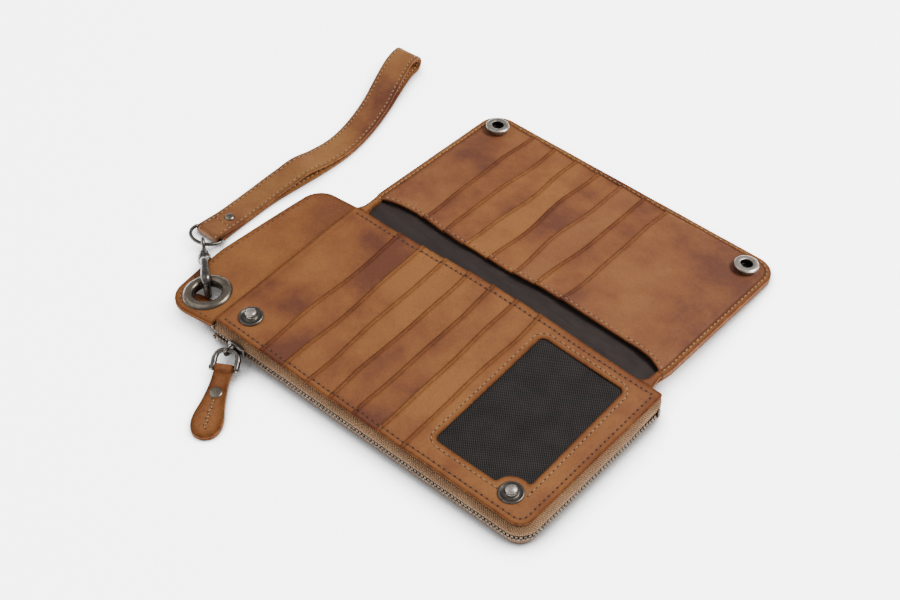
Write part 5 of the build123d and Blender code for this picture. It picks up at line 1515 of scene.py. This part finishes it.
# ------------------------------------------------------------------ flap
MOUTH_X = [-96.0, -92.0, -88.0, -80.0, -71.0, -62.0, -52.0, -34.0, -15.0, 4.0, 22.0, 41.0, 60.0, 72.0, 80.0,
    85.0, 88.5, 92.0]
MOUTH_S = [4.4, 6.2, 8.4, 10.6, 11.4, 10.6, 10.1, 9.9, 9.9, 10.8, 11.9, 11.0, 10.8, 10.0, 8.6, 6.6, 4.6, 3.6]
BORDER = 3.4


def mouth_s(x):
    """Wavy edge of the bill pocket's mouth."""
    x = np.asarray(x, float)
    return np.interp(x, MOUTH_X, MOUTH_S) + 0.18 * np.sin(x / 5.5)


def flap_side(s, right, inset=0.0):
    """X of the flap's left or right edge at distance s from the fold."""
    s = np.asarray(s, float)
    edge, narrow = (FLAP_RIGHT, 1.5) if right else (FLAP_LEFT, 2.5)
    sign = 1 if right else -1
    x = edge - sign * (inset + narrow * np.clip((10.0 - s) / 9.6, 0, 1.05))
    over = np.clip(s - (FLAP_LENGTH - FLAP_R), 0, FLAP_R - inset)
    return x - sign * ((FLAP_R - inset) - np.sqrt(np.maximum((FLAP_R - inset) ** 2 - over ** 2, 0)))


def s_samples(low, high, step=0.9):
    """Positions along the flap, closer together round its far corners."""
    a = np.arange(low, FLAP_LENGTH - FLAP_R, step)
    t = np.linspace(0, math.pi / 2, 22)
    b = (FLAP_LENGTH - FLAP_R) + (high - (FLAP_LENGTH - FLAP_R)) * np.sin(t)
    return np.concatenate([a, b])


def flap_ring(inset, low):
    """The three free sides from the fold's left end round to its right end."""
    s = s_samples(low, FLAP_LENGTH - inset)
    l = np.column_stack([flap_side(s, False, inset), s])
    r = np.column_stack([flap_side(s, True, inset), s])
    far = dense([l[-1], r[-1]], 1.0, closed=False)[1:-1]
    return np.vstack([l, far, r[::-1]])


FLAP_OPEN = flap_ring(0.0, 0.4)


def edge_distance(x, s):
    return distance(np.column_stack([np.ravel(x), np.ravel(s)]).astype(float), FLAP_OPEN,
        closed=False).reshape(np.shape(x))


def flap_lip_x(i, s):
    s = np.asarray(s, float)
    hold = np.clip((FLAP_LENGTH - s) / 30.0, 0, 1) * np.clip((s - 2.0) / 14.0, 0.15, 1)
    sway = 0.95 * np.sin(s / 15.0 + i * 1.9) + 0.45 * np.sin(s / 8.0 + i * 2.9)
    return LIPS[i] + sway * hold + 0.6 * np.clip((20 - s) / 20, 0, 1) * math.sin(i * 2.1)


def flap_lie(x, s):
    x, s = np.asarray(x, float), np.asarray(s, float)
    d = edge_distance(x, s)
    z = -0.50 * np.clip((BORDER + 0.9 - d) / 0.9, 0, 1)
    z = z + 0.13 * np.sin(x / 21.0 + 2.0) * np.cos(s / 27.0) + 0.07 * np.sin(x / 8.0 - s / 10.0)
    m = s - mouth_s(x)
    z = z + (0.55 + 0.30 * np.sin(x / 13.0 + 0.6)) * np.exp(-np.maximum(m, 0) / 5.0) * np.clip(d / 12.0, 0, 1)
    z = z - 0.12 * np.exp(-((m - 2.4) / 0.6) ** 2)
    socket = np.min([np.hypot(x - sx, s - SOCKET_S) for sx in STUD_X], axis=0)
    return z - 0.12 - 0.25 * np.exp(-((socket - 7.0) / 2.0) ** 2)


def flap_top(i):
    def top(x, s):
        return strip_height(x, s, i, flap_lip_x, INNER_W) + flap_lie(x, s)
    return top


def flap_height(x, s):
    return highest(x, s, flap_lip_x, flap_top)


def flap_strip_loop(i):
    """Outline of strip i in the flap's plane; -1 is the plain left strip."""
    inset = 2.7
    far = FLAP_LENGTH - inset - (0.25 * (i % 2) if 0 <= i < POCKETS else 0)

    def side(x_of):
        low = 8.0
        for _ in range(4):
            low = float(mouth_s(x_of(low)))
        s = s_samples(low, far, 0.9)
        return np.column_stack([[float(x_of(q)) for q in s], s])
    l = side((lambda s: flap_side(s, False, inset)) if i < 0 else (lambda s: flap_lip_x(i, s)))
    r = side((lambda s: flap_side(s, True, inset)) if i == POCKETS else (lambda s: flap_lip_x(i + 1, s) + TUCK))
    bottom = np.linspace(l[0, 0], r[0, 0], max(3, int((r[0, 0] - l[0, 0]) / 0.9)))[1:-1]
    low = np.column_stack([bottom, mouth_s(bottom)])
    high = dense([r[-1], l[-1]], 0.9, closed=False)[1:-1]
    return np.vstack([l[::-1], low, r, high])


FLAP_TONES = {-1: leather_flap, 0: leather_c, 1: leather_d, 2: leather_b, 3: leather_c, 4: leather_flap,
    5: leather_c, 6: leather_flap}
NODES = {-1: "flap_plain_panel_left", POCKETS: "flap_plain_panel_right"}
for i in range(-1, POCKETS + 1):
    thick = THIN - 0.02 if 0 <= i < POCKETS else THIN
    ys = np.arange(3.0, FLAP_LENGTH - 3.0, 1.1)
    more = None if i < 0 else np.vstack([np.column_stack([flap_lip_x(i, ys) + d, ys]) for d in LIP_ROWS])
    # tone paints shade into the crease next to each flap lip
    tone = None if i < 0 else (lambda x, s, i=i: crease(x - flap_lip_x(i, s)))
    ob = plate(f"flap_skin_{i + 2}", flap_strip_loop(i), [], flap_top(i), thick, 0.30, 0.95, FLAP_TONES[i],
        place=on_flap, edge_width=0.95, extra=more, shade_mark=tone)
    put(ob, "leather_pocket" if 0 <= i < POCKETS else "leather_front", "flap",
        NODES.get(i, f"flap_card_pocket_{i + 1}"))

# facing folded under the mouth's edge
xs = np.linspace(FLAP_LEFT + 5.5, FLAP_RIGHT - 4.5, 170)
facing = np.vstack([np.column_stack([xs, mouth_s(xs) + 0.15]),
    np.column_stack([xs[::-1], mouth_s(xs[::-1]) + 5.4])])
ob = plate("flap_mouth_facing", facing, [], lambda x, s: flap_height(x, s) - THIN - 0.06, 0.45, 0.2, 1.4,
    leather_a, place=on_flap)
put(ob, "leather_front", "flap", "flap_mouth_binding")

# card pockets' backing, starting behind the mouth
ring = flap_ring(3.0, 16.5)
ob = plate("flap_backing", ring, [], level(INNER_W - 1.95), 0.65, 0.2, 6.0, leather_out, place=on_flap)
put(ob, "leather_pocket", "flap", "flap_pocket_base")

# binding turned over the three free edges
outer_ring, inner_ring = flap_ring(0.0, 3.6), flap_ring(BORDER, 3.6)


def binding_top(x, s):
    x, s = np.atleast_1d(x).astype(float), np.atleast_1d(s).astype(float)
    d = edge_distance(x, s)
    level_out = np.full(x.shape, INNER_W - 0.30)
    t = np.clip((d - 1.2) / 1.6, 0, 1)
    z = level_out * (1 - t) + (np.clip(flap_height(x, s), INNER_W - 1.6, INNER_W - 0.3) + 0.16) * t
    return (z - 0.14 * np.exp(-((d - 2.3) / 0.5) ** 2) - 0.20 * np.exp(-(d / 0.7) ** 2)
        + 0.04 * np.sin(x / 6.0 + s / 5.0))


ob = plate("flap_binding", np.vstack([outer_ring, inner_ring[::-1]]), [], binding_top, 2.0, 0.42, 0.8,
    leather_a, place=on_flap, edge_width=0.9, bottom=lambda x, s: np.full(np.shape(x), INNER_W - 3.08))
put(ob, "leather_front", "flap", "flap_edge_binding")
border_seam = flap_ring(2.3, 6.0)
sew("flap_border_seam", [stitch_row(border_seam, lambda x, s: binding_top(np.atleast_1d(x), np.atleast_1d(s)),
    3.1, 2.2, 0.29, 0.10)], thread_tan, "flap", place=on_flap, slot="leather_front")
xs = np.linspace(FLAP_LEFT + 4.5, FLAP_RIGHT - 3.5, 400)
sew("flap_mouth_seam", [stitch_row(np.column_stack([xs, mouth_s(xs) + 2.4]), flap_height, 3.1, 2.2, 0.25,
    0.03)], thread_tan, "flap", place=on_flap, slot="leather_front")

# the flap turns more than half a turn, so its sheets span straight across the fold line;
# no point of a sheet lies nearer to the line than its clearance
OUTER_CLEAR, LINING_CLEAR, BRIDGE_CLEAR = 0.6, 1.3, 0.8


def fold_line(ob, place, clear, height):
    """Bakes a sheet's placement into its points; the two points it works out at the clearance either side of
    the fold are not used.
    """
    near, far = place(np.array([[0, -clear, height], [0, clear, height]]))
    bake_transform(ob)


# outer leather: back wall, fold and the outside of the flap in one sheet
BEND_Z, BEND_Y = 11.3, 51.55
profile = [(BEND_Y, 1.6), (BEND_Y, BEND_Z - 2.6)]
profile += [(BEND_Y + 2.6 - 2.6 * math.cos(t), BEND_Z - 2.6 + 2.6 * math.sin(t))
    for t in np.linspace(0, math.pi / 2, 12)[1:]]
profile += [(AXIS_Y, BEND_Z)]
profile = dense(np.array(profile), 0.4, closed=False)
wall_run = along_path(profile)
WALL_LEN = wall_run[-1]
outer_mid = INNER_W - 3.71
flap_dir = np.array([math.cos(FLAP_SLOPE), -math.sin(FLAP_SLOPE)])
flap_origin = on_flap(np.array([[0, 0, outer_mid]]))[0, 1:]


def outer_place(v):
    """(x, run, height) to the row frame: up the back wall, over the fold and along the flap."""
    v = np.asarray(v, float)
    q = v[:, 1]
    y = np.interp(q, wall_run - WALL_LEN, profile[:, 0])
    z = np.interp(q, wall_run - WALL_LEN, profile[:, 1])
    y2, z2 = np.interp(q + 0.3, wall_run - WALL_LEN, profile[:, 0]), np.interp(q + 0.3, wall_run - WALL_LEN,
        profile[:, 1])
    ty, tz = y2 - y, z2 - z
    on = q > -0.35
    ty, tz = np.where(on, flap_dir[0], ty), np.where(on, flap_dir[1], tz)
    n = np.hypot(ty, tz)
    ty, tz = ty / n, tz / n
    y = np.where(q > 0, flap_origin[0] + q * flap_dir[0], y)
    z = np.where(q > 0, flap_origin[1] + q * flap_dir[1], z)
    blend_in = np.clip(1 + q / 4.0, 0, 1) * (q <= 0)
    z = z + blend_in * (flap_origin[1] - BEND_Z)
    return np.column_stack([v[:, 0], y - tz * v[:, 2], z + ty * v[:, 2]])


def outer_loop():
    ring = flap_ring(0.0, 0.4)
    low = -WALL_LEN + 0.2
    left = [(-95.4, low), (-95.4, -6.0), (-94.2, -2.0), (-93.1, 0.0)]
    right = [(90.4, 0.0), (90.6, -2.0), (91.4, -6.0), (91.4, low)]
    return dense(np.vstack([left, ring, right]), 1.2)


def outer_top(x, q):
    x, q = np.asarray(x, float), np.asarray(q, float)
    z = 0.58 + 0.10 * np.sin(x / 19.0) * np.cos(q / 24.0)
    return z


fine_fold = [(x, q) for x in np.arange(-94.0, 91.0, 2.4) for q in np.arange(-WALL_LEN + 1.0, 1.0, 0.7)]
ob = plate("outer_leather_sheet", outer_loop(), [], outer_top, 1.16, 0.40, 2.4, leather_out, place=outer_place,
    extra=fine_fold, edge_width=1.2, clear=OUTER_CLEAR)
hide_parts("spine_leather", "flap_outer_leather")
fold_line(ob, outer_place, OUTER_CLEAR, 0.0)

# lining across the fold, then on under the flap's pockets
LIN = rounded([(-92.8, -6.6), (87.6, -6.6), (87.6, 14.0), (86.0, 104.0), (-92.8, 104.0), (-92.8, 14.0)],
    [2.0, 2.0, 0, 2, 2, 0])


def lining_top(x, s):
    x, s = np.asarray(x, float), np.asarray(s, float)
    show = np.clip(1 - np.abs(s - 3.5) / 12.0, 0, 1)
    fold = (0.5 * smooth_noise(x / 1.0, s * 3.2, 9.0, 3) + 0.30 * np.sin(x / 7.0 + s * 0.55)
        + 0.22 * np.sin(x / 3.1 - s * 0.8) + 0.30 * np.exp(-((s - 0.6 - 1.1 * np.sin(x / 17.0)) / 0.7) ** 2))
    ends = np.clip(np.minimum(x + 92.8, 87.6 - x) / 3.0, 0, 1)
    return -4.82 + show * (fold * 0.8 + 0.25) + (1 - ends) * 0.25 * show


def lining_place(v):
    v = np.asarray(v, float)
    flat = np.column_stack([v[:, 0], AXIS_Y + v[:, 1], AXIS_Z + v[:, 2]])
    bent = on_flap(v)
    t = np.clip((v[:, 1] + 1.5) / 3.0, 0, 1)[:, None]
    return flat * (1 - t) + bent * t


fine = [(x, s) for x in np.arange(-92.0, 87.2, 0.8) for s in np.arange(-6.0, 14.5, 0.7)]
ob = plate("lining_strip", dense(LIN, 1.0), [], lining_top, 0.30, 0.12, 5.0, lining_mat, place=lining_place,
    extra=fine, clear=LINING_CLEAR)
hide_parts("spine_lining", "flap_lining")
fold_line(ob, lining_place, LINING_CLEAR, -4.8)

# leather bridges at both ends of the fold
for tag_name, x0, x1, y0 in (("left", FLAP_LEFT + 0.2, -88.4, -6.4), ("right", 81.6, 91.0, -6.4)):
    if tag_name == "left":
        shape = [(-96.4, y0), (x1, y0), (x1 - 1.5, -4.0), (x1 - 2.1, 0.0), (x1 - 2.0, 4.0), (-91.4, 12.0),
            (FLAP_LEFT + 0.2, 12.0), (FLAP_LEFT + 0.3, 9.0), (-94.2, 2.0), (-94.6, -2.5)]
    else:
        shape = [(x0, y0), (91.6, y0), (91.0, -2.5), (90.6, 1.5), (91.6, 9.0), (91.9, 12.0), (88.6, 12.0),
            (87.2, 4.4), (86.9, 0.6), (86.4, -2.6), (84.9, -4.6)]

    def bridge_top(x, s):
        return -2.62 + 0.08 * np.sin(np.asarray(s) / 2.4) - 0.35 * np.clip((np.asarray(s) - 3) / 4, 0, 1)

    # these points lie outside the piece: only their rows at the clearance are kept
    rows = [(x, 20.0) for x in np.arange(x0, x1, 0.6)]
    ob = plate(f"bridge_{tag_name}", dense(rounded(shape,
        [0.4, 0.2, 1.5, 2, 2, 0.6, 0.4, 1, 2, 1] if tag_name == "left"
        else [0.2, 0.4, 1, 2, 1, 0.4, 0.6, 2, 2, 2, 1.5]), 0.6), [], bridge_top, 2.0, 0.45, 0.6, leather_a,
        place=lining_place, edge_width=0.8, extra=rows, clear=BRIDGE_CLEAR)
    fold_line(ob, lining_place, BRIDGE_CLEAR, -3.0)

# ------------------------------------------------------------------ camera, floor and light
cam_data = bpy.data.cameras.new("camera")
cam = bpy.data.objects.new("camera", cam_data)
bpy.context.scene.collection.objects.link(cam)
cam_data.sensor_width, cam_data.lens = 36.0, 65.64
cam_at, cam_to = Vector((0.3330, -0.3825, 0.6174)), Vector((-0.0171, 0.03265, 0.015))
cam.location = cam_at
cam.rotation_mode = "QUATERNION"
cam.rotation_quaternion = (cam_to - cam_at).to_track_quat("-Z", "Y")
cam_data.clip_start, cam_data.clip_end = 0.01, 50.0
bpy.context.scene.camera = cam

floor_mat, floor_nt, floor_bsdf = material("floor")
floor_bsdf.inputs["Roughness"].default_value = 0.9
floor_bsdf.inputs["Specular IOR Level"].default_value = 0.1
floor_bsdf.inputs["Emission Color"].default_value = (1, 1, 1, 1)
# painted contact shadow: an AO node darkens the floor's colour and cuts its glow near the wallet; clear of it
# the floor glows evenly white
contact_shadow_ao = node(floor_nt, "ShaderNodeAmbientOcclusion", Distance=0.017)
contact_shadow_ao.samples = 8
floor_nt.links.new(ramp(floor_nt, contact_shadow_ao.outputs["AO"],
    [(0.40, (0.16, 0.155, 0.15)), (0.82, (0.93, 0.93, 0.93))]), floor_bsdf.inputs["Base Color"])
floor_glow_and_shadow = map_range(floor_nt, contact_shadow_ao.outputs["AO"], 0.45, 0.88, 0.10, 4.6)
floor_nt.links.new(floor_glow_and_shadow, floor_bsdf.inputs["Emission Strength"])
floor = mesh_object("floor", [(-9000, -9000, 0), (9000, -9000, 0), (9000, 9000, 0), (-9000, 9000, 0)],
    [(0, 1, 2, 3)], floor_mat, smooth=False)


def area(name, where, size, power, colour=(1, 1, 1), to=(0, 0.02, 0)):
    data = bpy.data.lights.new(name, "AREA")
    data.shape, data.size, data.energy, data.color = "DISK", size, power, colour
    o = bpy.data.objects.new(name, data)
    o.location = where
    o.rotation_mode = "QUATERNION"
    o.rotation_quaternion = (Vector(to) - Vector(where)).to_track_quat("-Z", "Y")
    bpy.context.scene.collection.objects.link(o)
    return o


area("key", (0.75, 0.95, 1.35), 0.9, 42.0, (1.0, 0.985, 0.96))
area("fill", (-0.9, -0.5, 1.2), 1.6, 6.0, (0.96, 0.98, 1.0))
world = bpy.data.worlds.new("studio")
bpy.context.scene.world = world
world.use_nodes = True
world.node_tree.nodes["Background"].inputs["Color"].default_value = (0.97, 0.98, 1.0, 1)
world.node_tree.nodes["Background"].inputs["Strength"].default_value = 0.50
